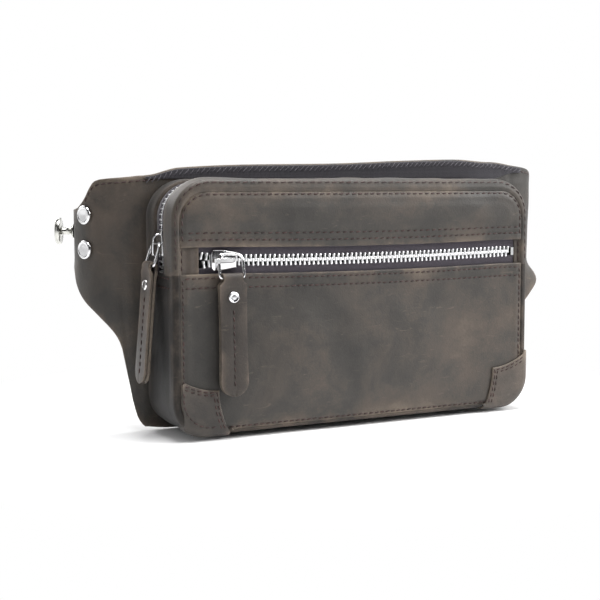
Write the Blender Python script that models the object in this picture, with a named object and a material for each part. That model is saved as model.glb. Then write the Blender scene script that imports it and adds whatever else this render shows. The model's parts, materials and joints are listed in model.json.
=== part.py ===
"""Leather waist pack: a zipped pouch on a back panel whose two wings carry the belt.

Frame: +X to the right in a front view, -Y out of the front of the pack,
+Y towards the wearer, +Z up.
The origin is on the flat wearer-side face of the back panel, at mid-width, level with
the bottom of the pouch. All lengths below are in millimetres; objects are made in metres.
"""

import math

import bmesh
import bpy
from mathutils import Vector

METRES = 0.001

# ---- driving dimensions, in millimetres -------------------------------------------
GAP = 0.3                  # clearance between touching pieces
LEATHER = 1.8
LINING = 0.6

POUCH_W = 254.0
POUCH_H = 154.0
FRONT_Y = -50.0            # outer face of the front leather
CORNER_TOP = 24.0
CORNER_BOTTOM = 20.0
ARC_STEPS = 6              # facets in each rounded corner
BAND_H = 11.0              # height of the stitched band over the front zip
PATCH_T = 1.4
DIVIDER_DEPTH = 9.0        # pocket divider, behind the front leather's outer face
DIVIDER_T = 1.0

BACK_T = LEATHER
PANEL_DROP = 3.0           # the back panel hangs this far below the pouch
FACING_T = 1.2             # strip along the back panel's top edge
HINGE_X = POUCH_W / 2 + 0.9
HINGE_GAP = 0.8            # from the flex line to the leather on each side

# centre back panel's top edge, as (x, z) support points
TOP_EDGE = ((-127, 156.5), (-105, 161.3), (-60, 163.5), (0, 164.5), (60, 167), (100, 168), (127, 166.5))

# wing outline, as (distance from the flex line, z)
WING_LEN = 74.0
LEFT_WING_TOP = ((0, 156.3), (8, 155.6), (15, 155), (24, 154.3), (31, 153.2), (36, 149.5),
                 (40, 144.5), (44, 140.5), (49, 137), (55, 135.3), (64, 134.8), (74, 134.8))
RIGHT_WING_TOP = ((0, 166.5), (20, 164), (35, 162), (41, 160), (46, 152), (52, 143),
                  (58, 140), (64, 139.5), (74, 139.5))
LEFT_WING_BOTTOM = ((0, -1), (4, 3), (7.5, 13), (10, 26), (12.5, 39), (15, 51), (19, 58.5),
                    (25, 65), (33, 72), (42, 79), (51, 88), (57, 96.5), (63, 99), (74, 99))
RIGHT_WING_BOTTOM = ((0, -1), (4, 3), (8, 13), (11, 26), (14, 39), (18, 51), (24, 58.5),
                     (32, 65), (41, 72), (50, 79), (56, 88), (60, 96.5), (64, 99), (74, 99))
WING_COLUMNS = 22
LEFT_CURL_R = 33.2
LEFT_CURL_START = 0.0
RIGHT_CURL_R = 25.8
RIGHT_CURL_START = 20.0
RELAX_LOW, RELAX_HIGH = 78.0, 98.0   # heights between which the right lobe starts to curl fully
RELAX_BEND = 0.50                    # share of the full bend below RELAX_LOW

STRAP_Z = 121.0            # centre height of the belt line
STRAP_W = 32.0
RIVET_PITCH = 21.6
LEFT_RIVET_S = 39.0        # distance of each rivet pair from its flex line
RIGHT_RIVET_S = 66.0
STUD_S = 66.0
STRAP_BEND_R = 26.0
STRAP_FOLD_R = 11.0
STRAP_INNER_RUN = 195.0
STRAP_OUTER_RUN = 175.0
LEFT_TAB_HALF_H = 13.6
LEFT_TAB_START = 33.0      # where each strap tab begins under its wing
RIGHT_TAB_START = 56.0
STRAP_HOLES = 5
STRAP_FIRST_HOLE = 30.0
STRAP_HOLE_PITCH = 25.0
BELT_WIRE_R = 1.5
BELT_RING_REACH = 12.0     # between the centre lines of the belt ring's two long bars
BELT_WRAP = 240.0          # degrees of strap round the far bar

# front zip
ZIP_Z = 105.5              # chain centre line
ZIP_DEPTH = 3.0            # tape centre below the leather's outer face
ZIP_X0, ZIP_X1 = -108.5, 114.6
WINDOW_HALF = 8.0
WINDOW_X0, WINDOW_X1 = -110.0, 117.5
FRONT_SLIDER_X = -94.4

# main zip, up the left side, over the top and down the right side
MAIN_ZIP_Y = -25.3
MAIN_WINDOW_HALF = 7.8
MAIN_ZIP_END_Z = 97.0
MAIN_SLIDER_Z = 115.0

# one zip chain
TAPE_T = 0.7
TAPE_W = 12.0
MAIN_TAPE_W = 10.5
CHAIN_HALF = 3.8
CHAIN_T = 2.6
TOOTH_PITCH = 3.15
TOOTH_LEN = 1.15
CHAIN_SPLIT = 0.6          # half the room between the two rows, for the slider's wedge

# slider, in (u along the chain, v across it, n outwards)
PLATE_OUT, PLATE_IN = 2.8, 1.6
CROWN_N = 7.0
CROWN_HALF_V = 1.4
SLIDER_OUTLINE = ((-8.0, 5.2), (-6.5, 6.5), (-1.0, 6.3), (4.5, 5.4), (8.0, 5.2))

# ring and leather pull
WIRE_R = 1.0
RING_HALF_W = 7.75
RING_H = 14.4
RING_N = 4.25              # height of the ring's top bar above the chain
PULL_HALF_W = 9.0
PULL_NECK_HALF_W = 6.4
PULL_LEN = 71.5
PULL_T = 1.7
PULL_RIVET_DOWN = 11.5
PULL_NECK_END = 1.7        # below the bar: end of the neck, start of the full width,
PULL_FULL_FROM = 4.5       # and the level where the two layers meet
PULL_CLOSED_FROM = 9.0
FRONT_RING_OFFSET = 3.6
FRONT_RING_TOP_V = 3.6
FRONT_RING_TILT = math.radians(8.5)
FRONT_PULL_TILT = math.radians(1.5)
MAIN_RING_TOP_U = 0.5
MAIN_RING_TILT = math.radians(18.0)
MAIN_PULL_TILT = math.radians(5.0)

# rivets and stud
RIVET_R = 6.0
RIVET_DOME = 2.4
RIVET_BACK_R = 4.5
RIVET_SHANK_R = 1.8
RIVET_HOLE_R = 2.2
STUD_HEAD_R = 8.5
STUD_HEAD_T = 3.2
STUD_NECK_R = 2.3
STUD_NECK_LEN = 8.0

# ---- materials ---------------------------------------------------------------------
MATERIALS = {
    "oiled_leather": ((0.075, 0.068, 0.060), 0.55, 0.0),
    "dark_leather": ((0.050, 0.045, 0.042), 0.60, 0.0),
    "pull_leather": ((0.090, 0.075, 0.062), 0.50, 0.0),
    "zip_tape": ((0.035, 0.030, 0.036), 0.90, 0.0),
    "chrome": ((0.86, 0.86, 0.88), 0.12, 1.0),
    "lining_cloth": ((0.040, 0.038, 0.040), 0.90, 0.0),
}


def clear_scene():
    for obj in list(bpy.data.objects):
        bpy.data.objects.remove(obj, do_unlink=True)


def make_materials():
    made = {}
    for name, (colour, roughness, metallic) in MATERIALS.items():
        material = bpy.data.materials.new(name)
        material.use_nodes = True
        shader = material.node_tree.nodes["Principled BSDF"]
        shader.inputs["Base Color"].default_value = (*colour, 1.0)
        shader.inputs["Roughness"].default_value = roughness
        shader.inputs["Metallic"].default_value = metallic
        made[name] = material
    return made


# ---- mesh helpers ------------------------------------------------------------------
def add_object(name, mesh_bm, material, pivot=(0, 0, 0), smooth=False):
    """Store a bmesh (millimetres, world axes) as an object whose origin is the pivot."""
    bmesh.ops.recalc_face_normals(mesh_bm, faces=mesh_bm.faces[:])
    offset = Vector(pivot)
    for vert in mesh_bm.verts:
        vert.co = (vert.co - offset) * METRES
    mesh = bpy.data.meshes.new(name)
    mesh_bm.to_mesh(mesh)
    mesh_bm.free()
    mesh.materials.append(material)
    if smooth:
        mesh.shade_smooth()
        mesh.set_sharp_from_angle(angle=math.radians(40))
    obj = bpy.data.objects.new(name, mesh)
    obj.location = offset * METRES
    bpy.context.collection.objects.link(obj)
    return obj


def frame_at(origin, u, v, n):
    """Return a function that turns local (u, v, n) lengths into a world point."""
    origin, u, v, n = Vector(origin), Vector(u), Vector(v), Vector(n)

    def to_world(a, b, c):
        return origin + u * a + v * b + n * c

    return to_world


def fill_grid(bm, outer, inner):
    """Close two matching grids of points, outer[i][j] and inner[i][j], into one skin."""
    rows = [[[bm.verts.new(p) for p in column] for column in side] for side in (outer, inner)]
    count_i, count_j = len(outer), len(outer[0])
    for side in rows:
        for i in range(count_i - 1):
            for j in range(count_j - 1):
                bm.faces.new((side[i][j], side[i + 1][j], side[i + 1][j + 1], side[i][j + 1]))
    rim = [(i, 0) for i in range(count_i)]
    rim += [(count_i - 1, j) for j in range(1, count_j)]
    rim += [(i, count_j - 1) for i in range(count_i - 2, -1, -1)]
    rim += [(0, j) for j in range(count_j - 2, 0, -1)]
    for here, there in zip(rim, rim[1:] + rim[:1]):
        a, b = rows[0][here[0]][here[1]], rows[0][there[0]][there[1]]
        c, d = rows[1][there[0]][there[1]], rows[1][here[0]][here[1]]
        bm.faces.new((a, b, c, d))


def grid_solid(name, outer, inner, material, pivot=(0, 0, 0), smooth=False):
    bm = bmesh.new()
    fill_grid(bm, outer, inner)
    return add_object(name, bm, material, pivot, smooth)


def fill_prism(bm, outline, low, high, place):
    """Extrude a flat outline of (a, b) points from c = low to c = high."""
    bottom = [bm.verts.new(place(a, b, low)) for a, b in outline]
    top = [bm.verts.new(place(a, b, high)) for a, b in outline]
    bm.faces.new(bottom)
    bm.faces.new(top)
    for i, vert in enumerate(bottom):
        j = (i + 1) % len(bottom)
        bm.faces.new((vert, bottom[j], top[j], top[i]))


def prism(name, outline, low, high, place, material, pivot=(0, 0, 0)):
    bm = bmesh.new()
    fill_prism(bm, outline, low, high, place)
    return add_object(name, bm, material, pivot)


def fill_turned(bm, profile, place, sides):
    """Turn a profile of (radius, height) points about the n axis of a local frame."""
    rings = []
    for radius, height in profile:
        if radius == 0:
            rings.append([bm.verts.new(place(0, 0, height))])
            continue
        angles = [2 * math.pi * k / sides for k in range(sides)]
        rings.append([bm.verts.new(place(radius * math.cos(t), radius * math.sin(t), height))
                      for t in angles])
    for low, high in zip(rings, rings[1:]):
        for k in range(sides):
            m = (k + 1) % sides
            corners = [low[k % len(low)], low[m % len(low)]]
            corners += [high[m % len(high)], high[k % len(high)]]
            bm.faces.new(list(dict.fromkeys(corners)))


def turned(name, profile, place, material, pivot=(0, 0, 0), sides=20):
    bm = bmesh.new()
    fill_turned(bm, profile, place, sides)
    return add_object(name, bm, material, pivot, smooth=True)


def cut_away(obj, cutter_bm):
    """Subtract a closed shape from an object with a hidden cutter."""
    cutter = add_object(obj.name + "_cutter", cutter_bm, obj.data.materials[0])
    cutter.hide_render = True
    cutter.display_type = "WIRE"
    cut = obj.modifiers.new("cut", "BOOLEAN")
    cut.operation = "DIFFERENCE"
    cut.solver = "EXACT"
    cut.object = cutter


def punch(obj, outline, place, reach):
    """Cut a hole of the given (u, v) outline, reaching both ways along n."""
    cutter_bm = bmesh.new()
    fill_prism(cutter_bm, outline, -reach, reach, place)
    cut_away(obj, cutter_bm)


def bore(obj, origin, axis, radius, reach):
    """Cut a round hole."""
    axis = Vector(axis).normalized()
    side = axis.orthogonal().normalized()
    circle = [(radius * math.cos(math.pi * k / 6), radius * math.sin(math.pi * k / 6))
              for k in range(12)]
    punch(obj, circle, frame_at(origin, side, axis.cross(side), axis), reach)


def smooth_curve(points, x):
    """Height at x of a smooth curve through support points (cubic Hermite)."""
    def slope(i):
        if i == 0 or i == len(points) - 1:
            return 0.0
        (x0, z0), (x1, z1), (x2, z2) = points[i - 1:i + 2]
        left, right = (z1 - z0) / (x1 - x0), (z2 - z1) / (x2 - x1)
        if left * right <= 0:
            return 0.0
        return 2 * left * right / (left + right)

    x = min(max(x, points[0][0]), points[-1][0])
    index = max(i for i in range(len(points) - 1) if points[i][0] <= x)
    (x0, z0), (x1, z1) = points[index], points[index + 1]
    width = x1 - x0
    t = (x - x0) / width
    return ((2 * t ** 3 - 3 * t ** 2 + 1) * z0 + (t ** 3 - 2 * t ** 2 + t) * width * slope(index)
            + (3 * t ** 2 - 2 * t ** 3) * z1 + (t ** 3 - t ** 2) * width * slope(index + 1))


def corner_arc(centre, radius, start_deg, end_deg, steps=ARC_STEPS):
    """Points (a, b, outward angle) along a circular corner."""
    points = []
    for k in range(steps + 1):
        angle = math.radians(start_deg + (end_deg - start_deg) * k / steps)
        points.append((centre[0] + radius * math.cos(angle),
                       centre[1] + radius * math.sin(angle), angle))
    return points


def rounded_outline(x0, x1, z0, z1, r_bottom, r_top):
    """Outline of a rectangle, its lower and upper corners rounded (0 keeps them square)."""
    outline = []
    corners = (((x0, z0), (1, 1), 180, r_bottom), ((x1, z0), (-1, 1), 270, r_bottom),
               ((x1, z1), (-1, -1), 0, r_top), ((x0, z1), (1, -1), 90, r_top))
    for (x, z), (in_x, in_z), start, radius in corners:
        if radius == 0:
            outline.append((x, z))
            continue
        centre = (x + in_x * radius, z + in_z * radius)
        outline += [(a, b) for a, b, _ in corner_arc(centre, radius, start, start + 90)]
    return outline


def pouch_path(end_z, over_the_top):
    """Points (x, z, outward angle) round the pouch's outer face, from left to right."""
    half = POUCH_W / 2
    left, right = math.pi, 0.0
    if over_the_top:
        radius, centre_z, turn = CORNER_TOP, POUCH_H - CORNER_TOP, -90
    else:
        radius, centre_z, turn = CORNER_BOTTOM, CORNER_BOTTOM, 90
    path = [(-half, end_z, left)]
    path += corner_arc((-half + radius, centre_z), radius, 180, 180 + turn)
    path += corner_arc((half - radius, centre_z), radius, -turn, 0)
    path.append((half, end_z, right))
    return path


def pouch_band(name, path, y0, y1, depth, thickness, material):
    """A strip that follows the pouch's outer face, sunk below it by depth."""
    outer, inner = [], []
    for x, z, angle in path:
        out_x, out_z = math.cos(angle), math.sin(angle)
        for target, sink in ((outer, depth), (inner, depth + thickness)):
            px, pz = x - out_x * sink, z - out_z * sink
            target.append([Vector((px, y0, pz)), Vector((px, y1, pz))])
    return grid_solid(name, outer, inner, material)


def front_layer(a, b, c):
    """Place for flat front pieces: (x, z, depth behind the outer face)."""
    return Vector((a, FRONT_Y + c, b))


# ---- pouch -------------------------------------------------------------------------
def build_pouch(mats):
    leather, dark, cloth = mats["oiled_leather"], mats["dark_leather"], mats["lining_cloth"]
    half = POUCH_W / 2
    front_edge = FRONT_Y + LEATHER + GAP
    back_edge = -BACK_T - GAP
    window_low, window_high = ZIP_Z - WINDOW_HALF, ZIP_Z + WINDOW_HALF
    band_top = window_high + BAND_H

    prism("front_pocket_panel",
          rounded_outline(-half, half, 0, window_low, CORNER_BOTTOM, 0),
          0, LEATHER, front_layer, leather)
    prism("upper_flap_band",
          rounded_outline(-half, half, window_high, band_top, 0, 0),
          0, LEATHER, front_layer, leather)
    prism("front_top_panel",
          rounded_outline(-half, half, band_top + GAP, POUCH_H, 0, CORNER_TOP),
          0, LEATHER, front_layer, leather)
    cap_z0, cap_z1 = window_low + GAP, window_high - GAP
    prism("zip_end_cap_left",
          rounded_outline(-half, WINDOW_X0, cap_z0, cap_z1, 0, 0),
          0, LEATHER, front_layer, leather)
    prism("zip_end_cap_right",
          rounded_outline(WINDOW_X1, half, cap_z0, cap_z1, 0, 0),
          0, LEATHER, front_layer, leather)

    side_path = pouch_path(MAIN_ZIP_END_Z - GAP, over_the_top=False)
    pouch_band("gusset_body", side_path, front_edge, back_edge, 0, LEATHER, dark)
    top_path = pouch_path(MAIN_ZIP_END_Z, over_the_top=True)
    pouch_band("gusset_top_front", top_path, front_edge, MAIN_ZIP_Y - MAIN_WINDOW_HALF,
               0, LEATHER, leather)
    pouch_band("gusset_top_rear", top_path, MAIN_ZIP_Y + MAIN_WINDOW_HALF, back_edge,
               0, LEATHER, leather)

    inset = LEATHER + GAP
    divider_back = DIVIDER_DEPTH + DIVIDER_T
    prism("pocket_divider",
          rounded_outline(-half + inset, half - inset, inset, band_top,
                          CORNER_BOTTOM - inset, 0),
          DIVIDER_DEPTH, divider_back, front_layer, cloth)
    build_pocket_lining(cloth, inset)
    build_main_lining(cloth, inset, FRONT_Y + divider_back + GAP, back_edge - GAP)
    build_corner_patches(leather)


def build_pocket_lining(cloth, inset):
    """Lining of the front pocket: one cloth folded up behind the zip, open at the top."""
    half = POUCH_W / 2 - CORNER_BOTTOM
    front_in, front_out = inset, inset + LINING
    back_out = DIVIDER_DEPTH - 2 * GAP
    back_in = back_out - LINING
    low = 4.0
    front_high = ZIP_Z - CHAIN_HALF - TAPE_W - 1.0
    back_high = ZIP_Z + 14.0
    section = ((front_in, low), (back_out, low), (back_out, back_high), (back_in, back_high),
               (back_in, low + LINING), (front_out, low + LINING), (front_out, front_high),
               (front_in, front_high))

    def place(depth, z, x):
        return Vector((x, FRONT_Y + depth, z))

    prism("front_pocket_lining", section, -half, half, place, cloth)


def build_main_lining(cloth, inset, y_front, y_back):
    """Lining bag of the main compartment: a thin tray, open under the main zip."""
    half = POUCH_W / 2 - inset - GAP
    low, high = inset + GAP, MAIN_ZIP_END_Z - 2.0
    corner = CORNER_BOTTOM - inset - GAP
    walls = bmesh.new()
    fill_prism(walls, rounded_outline(-half, half, low, high, corner, 0), y_front, y_back,
               lambda x, z, y: Vector((x, y, z)))
    tray = add_object("main_lining_bag", walls, cloth)
    hollow = bmesh.new()
    fill_prism(hollow,
               rounded_outline(-half + LINING, half - LINING, low + LINING, high + 5.0,
                               corner - LINING, 0),
               y_front + LINING, y_back - LINING, lambda x, z, y: Vector((x, y, z)))
    cut_away(tray, hollow)


def build_corner_patches(leather):
    """Reinforcing patches over the pocket's lower corners, with two hollow edges."""
    half = POUCH_W / 2
    side_high, inner_high = 37.0, 27.0         # height at the pouch's side and inner corner
    inner_x, foot_x = 28.0, 35.0               # width at the inner corner and at the foot
    steps = 6
    for name, side in (("corner_patch_left", -1), ("corner_patch_right", 1)):
        arc = corner_arc((half - CORNER_BOTTOM, CORNER_BOTTOM), CORNER_BOTTOM, 270, 360)
        outline = [(a, b) for a, b, _ in arc]
        outline.append((half, side_high))
        for k in range(1, steps + 1):          # hollow top edge
            t = k / steps
            outline.append((half - inner_x * t,
                            side_high + (inner_high - side_high) * (1 - (1 - t) ** 2)))
        for k in range(1, steps + 1):          # hollow inner edge
            t = k / steps
            outline.append((half - inner_x - (foot_x - inner_x) * t ** 2,
                            inner_high * (1 - t)))
        outline = [(side * a, b) for a, b in outline]
        prism(name, outline, -GAP - PATCH_T, -GAP, front_layer, leather)


# ---- zips --------------------------------------------------------------------------
def comb_outline(u0, u1, shift):
    """Outline (u, v) of one row: a bead with teeth pointing at the centre line."""
    bead, tip = CHAIN_HALF - 1.2, CHAIN_SPLIT
    outline = [(u0, CHAIN_HALF), (u0, bead)]
    tooth = u0 + 0.4 + shift
    while tooth + TOOTH_LEN < u1 - 0.2:
        end = tooth + TOOTH_LEN
        outline += [(tooth, bead), (tooth, tip), (end, tip), (end, bead)]
        tooth += TOOTH_PITCH
    return outline + [(u1, bead), (u1, CHAIN_HALF)]


def build_front_zip(mats):
    """Front zip: u runs along the chain, v up and n out of the front."""
    chain_place = frame_at((0, FRONT_Y + ZIP_DEPTH, ZIP_Z), (1, 0, 0), (0, 0, 1), (0, -1, 0))
    near, far = CHAIN_HALF + GAP, CHAIN_HALF + TAPE_W
    tape_x0, tape_x1 = ZIP_X0 - 8.0, ZIP_X1 + 6.0
    for name, side, shift in (("upper", 1, 0.0), ("lower", -1, TOOTH_PITCH / 2)):
        tape = ((tape_x0, side * near), (tape_x1, side * near),
                (tape_x1, side * far), (tape_x0, side * far))
        prism("front_zip_tape_" + name, tape, -TAPE_T / 2, TAPE_T / 2, chain_place,
              mats["zip_tape"])
        row = [(u, side * v) for u, v in comb_outline(ZIP_X0, ZIP_X1, shift)]
        prism("front_zip_teeth_" + name, row, -CHAIN_T / 2, CHAIN_T / 2, chain_place,
              mats["chrome"])
    stop_x0, stop_x1, stop_half = ZIP_X1 + GAP, ZIP_X1 + 2.4, 2.6
    stop = ((stop_x0, -stop_half), (stop_x1, -stop_half), (stop_x1, stop_half),
            (stop_x0, stop_half))
    prism("front_zip_bottom_stop", stop, -CHAIN_T / 2, CHAIN_T / 2, chain_place, mats["chrome"])


def build_main_zip(mats):
    path = pouch_path(MAIN_ZIP_END_Z, over_the_top=True)
    near, far = CHAIN_HALF + GAP, CHAIN_HALF + MAIN_TAPE_W
    for name, side in (("front", -1), ("rear", 1)):
        y0, y1 = sorted((MAIN_ZIP_Y + side * near, MAIN_ZIP_Y + side * far))
        pouch_band("main_zip_tape_" + name, path, y0, y1, ZIP_DEPTH - TAPE_T / 2, TAPE_T,
                   mats["zip_tape"])
        y0, y1 = sorted((MAIN_ZIP_Y + side * CHAIN_SPLIT, MAIN_ZIP_Y + side * CHAIN_HALF))
        pouch_band("main_zip_teeth_" + name, path, y0, y1, ZIP_DEPTH - CHAIN_T / 2, CHAIN_T,
                   mats["chrome"])


def unite(parts_bm):
    """Join overlapping closed shapes into one body."""
    base = None
    for index, shape in enumerate(parts_bm):
        piece = add_object("slider_shape_%d" % index, shape, bpy.data.materials["chrome"])
        if base is None:
            base = piece
            continue
        join = base.modifiers.new("join_%d" % index, "BOOLEAN")
        join.operation = "UNION"
        join.solver = "EXACT"
        join.object = piece
    bpy.context.view_layer.update()
    evaluated = base.evaluated_get(bpy.context.evaluated_depsgraph_get())
    joined = bmesh.new()
    joined.from_mesh(evaluated.to_mesh())
    for vert in joined.verts:
        vert.co = vert.co / METRES
    for index in range(len(parts_bm)):
        bpy.data.objects.remove(bpy.data.objects["slider_shape_%d" % index], do_unlink=True)
    return joined


def build_slider(name, place, mats, pivot):
    """Slider body: two plates with side lips, a wedge post between them and a crown."""
    outline = list(SLIDER_OUTLINE) + [(u, -v) for u, v in reversed(SLIDER_OUTLINE)]
    shapes = []
    for low, high in ((PLATE_IN, PLATE_OUT), (-PLATE_OUT, -PLATE_IN)):
        plate = bmesh.new()
        fill_prism(plate, outline, low, high, place)
        shapes.append(plate)
        lip_low, lip_high = (0.7, PLATE_IN + 0.4) if low > 0 else (-PLATE_IN - 0.4, -0.7)
        for side in (1, -1):
            lip = bmesh.new()
            edge = [(u, side * (v - 0.1)) for u, v in SLIDER_OUTLINE]
            edge += [(u, side * (v - 0.95)) for u, v in reversed(SLIDER_OUTLINE)]
            fill_prism(lip, edge, lip_low, lip_high, place)
            shapes.append(lip)
    post = bmesh.new()
    wedge = ((-7.6, -0.3), (-3.6, -0.3), (-3.6, 0.3), (-7.6, 0.3))
    fill_prism(post, wedge, -PLATE_IN - 0.4, PLATE_IN + 0.4, place)
    shapes.append(post)
    shapes.append(crown_shape(place))
    return add_object(name, unite(shapes), mats["chrome"], pivot)


def crown_shape(place):
    """The bridge over the slider's outer plate that the ring threads through."""
    outer = ((-7.9, 2.2), (-7.8, 5.6), (-6.7, CROWN_N), (3.8, CROWN_N), (5.8, 5.6), (6.6, 2.2))
    inner = ((-6.9, 2.2), (-6.8, 5.3), (-6.3, CROWN_N - 1.1), (3.1, CROWN_N - 1.1),
             (4.6, 5.1), (5.3, 2.2))
    crown = bmesh.new()
    near = [[place(u, v, n) for v in (-CROWN_HALF_V, CROWN_HALF_V)] for u, n in outer]
    far = [[place(u, v, n) for v in (-CROWN_HALF_V, CROWN_HALF_V)] for u, n in inner]
    fill_grid(crown, near, far)
    return crown


def build_ring(name, place, mats, pivot):
    """Wire ring in its own plane: a = across, b = down from the top bar's centre line."""
    top_r, bottom_r, half = 4.5, 2.0, RING_HALF_W
    path = []
    path += corner_arc((half - top_r, -top_r), top_r, 90, 0, 5)
    path += corner_arc((half - bottom_r, -RING_H + bottom_r), bottom_r, 0, -90, 4)
    path += corner_arc((-half + bottom_r, -RING_H + bottom_r), bottom_r, -90, -180, 4)
    path += corner_arc((-half + top_r, -top_r), top_r, 180, 90, 5)
    sides = 8
    bm = bmesh.new()
    loops = []
    for a, b, angle in path:
        loop = []
        for k in range(sides):
            t = 2 * math.pi * k / sides
            out = WIRE_R * math.cos(t)
            loop.append(bm.verts.new(place(a + out * math.cos(angle), b + out * math.sin(angle),
                                           WIRE_R * math.sin(t))))
        loops.append(loop)
    for here, there in zip(loops, loops[1:] + loops[:1]):
        for k in range(sides):
            m = (k + 1) % sides
            bm.faces.new((here[k], here[m], there[m], there[k]))
    return add_object(name, bm, mats["chrome"], pivot, smooth=True)


def pull_half_width(down):
    """Half the strip's width at a distance below the ring's bar."""
    if down <= PULL_NECK_END:
        return PULL_NECK_HALF_W
    if down < PULL_FULL_FROM:
        share = (down - PULL_NECK_END) / (PULL_FULL_FROM - PULL_NECK_END)
        return PULL_NECK_HALF_W + (PULL_HALF_W - PULL_NECK_HALF_W) * share
    reach = PULL_HALF_W - (PULL_LEN - down)
    if reach <= 0:
        return PULL_HALF_W
    tip_half = 1.5
    return max(math.sqrt(max(PULL_HALF_W ** 2 - reach ** 2, 0.0)), tip_half)


def build_pull(name, place, mats, pivot):
    """Leather strip folded over the ring's bar; a = across, b = up, c = outwards."""
    fold_r = WIRE_R + 0.25 + PULL_T / 2
    closed_c = PULL_T / 2 + 0.12
    round_from = PULL_LEN - PULL_HALF_W
    downs = [0, PULL_NECK_END, PULL_FULL_FROM, PULL_CLOSED_FROM, 20.0, 40.0, round_from]
    downs += [round_from + PULL_HALF_W * math.sin(math.radians(a)) for a in (20, 40, 60, 75, 90)]

    def layer_c(down):
        ease = min(down / PULL_CLOSED_FROM, 1.0)
        return fold_r + (closed_c - fold_r) * ease * ease * (3 - 2 * ease)

    path = [(-d, layer_c(d), 0.0) for d in reversed(downs)]
    path += [(fold_r * math.sin(t), fold_r * math.cos(t), t)
             for t in (math.radians(a) for a in (30, 60, 90, 120, 150))]
    path += [(-d, -layer_c(d), math.pi) for d in downs]
    outer, inner = [], []
    for b, c, angle in path:
        half = pull_half_width(-b)
        for target, shift in ((outer, PULL_T / 2), (inner, -PULL_T / 2)):
            pb, pc = b + shift * math.sin(angle), c + shift * math.cos(angle)
            target.append([place(-half, pb, pc), place(half, pb, pc)])
    pull = grid_solid(name, outer, inner, mats["pull_leather"], pivot)
    bore(pull, place(0, -PULL_RIVET_DOWN, 0), place(0, 0, 1) - place(0, 0, 0), 1.7, 6.0)

    face = closed_c + PULL_T / 2 + GAP
    profile = ((0, face + 1.5), (1.8, face + 1.25), (3.0, face + 0.6), (3.5, face),
               (1.35, face), (1.35, -face), (3.0, -face), (2.6, -face - 0.6),
               (0, -face - 0.8))
    rivet_place = frame_at(place(0, -PULL_RIVET_DOWN, 0), place(1, 0, 0) - place(0, 0, 0),
                           place(0, 1, 0) - place(0, 0, 0), place(0, 0, 1) - place(0, 0, 0))
    turned(name + "_rivet", profile, rivet_place, mats["chrome"], pivot, sides=16)


def build_front_hardware(mats):
    centre = Vector((FRONT_SLIDER_X, FRONT_Y + ZIP_DEPTH, ZIP_Z))
    out = Vector((0, -1, 0))
    place = frame_at(centre, (1, 0, 0), (0, 0, 1), out)
    build_slider("front_slider", place, mats, centre)
    # the ring lies beside the crown's right foot, one arm threaded under the crown
    tilt = FRONT_RING_TILT
    down = Vector((0, 0, math.cos(tilt))) + out * -math.sin(tilt)
    facing = out * math.cos(tilt) + Vector((0, 0, math.sin(tilt)))
    top = place(FRONT_RING_OFFSET, FRONT_RING_TOP_V, RING_N)
    build_ring("front_ring", frame_at(top, (1, 0, 0), down, facing), mats, top)
    bar = top - down * RING_H
    tilt = FRONT_PULL_TILT
    pull_up = Vector((0, 0, math.cos(tilt))) - out * math.sin(tilt)
    pull_out = out * math.cos(tilt) + Vector((0, 0, math.sin(tilt)))
    build_pull("front_pull", frame_at(bar, (1, 0, 0), pull_up, pull_out), mats, bar)


def build_main_hardware(mats):
    centre = Vector((-POUCH_W / 2 + ZIP_DEPTH, MAIN_ZIP_Y, MAIN_SLIDER_Z))
    out = Vector((-1, 0, 0))
    up = Vector((0, 0, 1))
    across = Vector((0, 1, 0))
    place = frame_at(centre, up, across, out)
    build_slider("main_slider", place, mats, centre)
    tilt = MAIN_RING_TILT
    ring_up = up * math.cos(tilt) - out * math.sin(tilt)
    facing = out * math.cos(tilt) + up * math.sin(tilt)
    top = place(MAIN_RING_TOP_U, 0, RING_N)
    build_ring("main_ring", frame_at(top, across * -1, ring_up, facing), mats, top)
    bar = top - ring_up * RING_H
    tilt = MAIN_PULL_TILT
    pull_up = up * math.cos(tilt) - out * math.sin(tilt)
    pull_out = out * math.cos(tilt) + up * math.sin(tilt)
    build_pull("main_pull", frame_at(bar, across * -1, pull_up, pull_out), mats, bar)


# ---- back panel, wings and belt ------------------------------------------------------
def build_back(mats):
    half = HINGE_X - HINGE_GAP
    columns = 15
    outer, inner, strip_front, strip_back = [], [], [], []
    facing_low = POUCH_H + GAP
    strip_y = -BACK_T - GAP
    for k in range(columns + 1):
        x = -half + 2 * half * k / columns
        top = smooth_curve(TOP_EDGE, x)
        edge = max(abs(x) - (half - CORNER_BOTTOM), 0)
        low = -PANEL_DROP + 2.0 * (edge / CORNER_BOTTOM) ** 2
        outer.append([Vector((x, -BACK_T, low)), Vector((x, -BACK_T, top))])
        inner.append([Vector((x, 0, low)), Vector((x, 0, top))])
        strip_top = top - 0.6
        strip_front.append([Vector((x, strip_y - FACING_T, facing_low)),
                            Vector((x, strip_y - FACING_T, strip_top))])
        strip_back.append([Vector((x, strip_y, facing_low)),
                           Vector((x, strip_y, strip_top))])
    grid_solid("back_panel", outer, inner, mats["oiled_leather"])
    grid_solid("back_top_facing", strip_front, strip_back, mats["dark_leather"])


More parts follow.
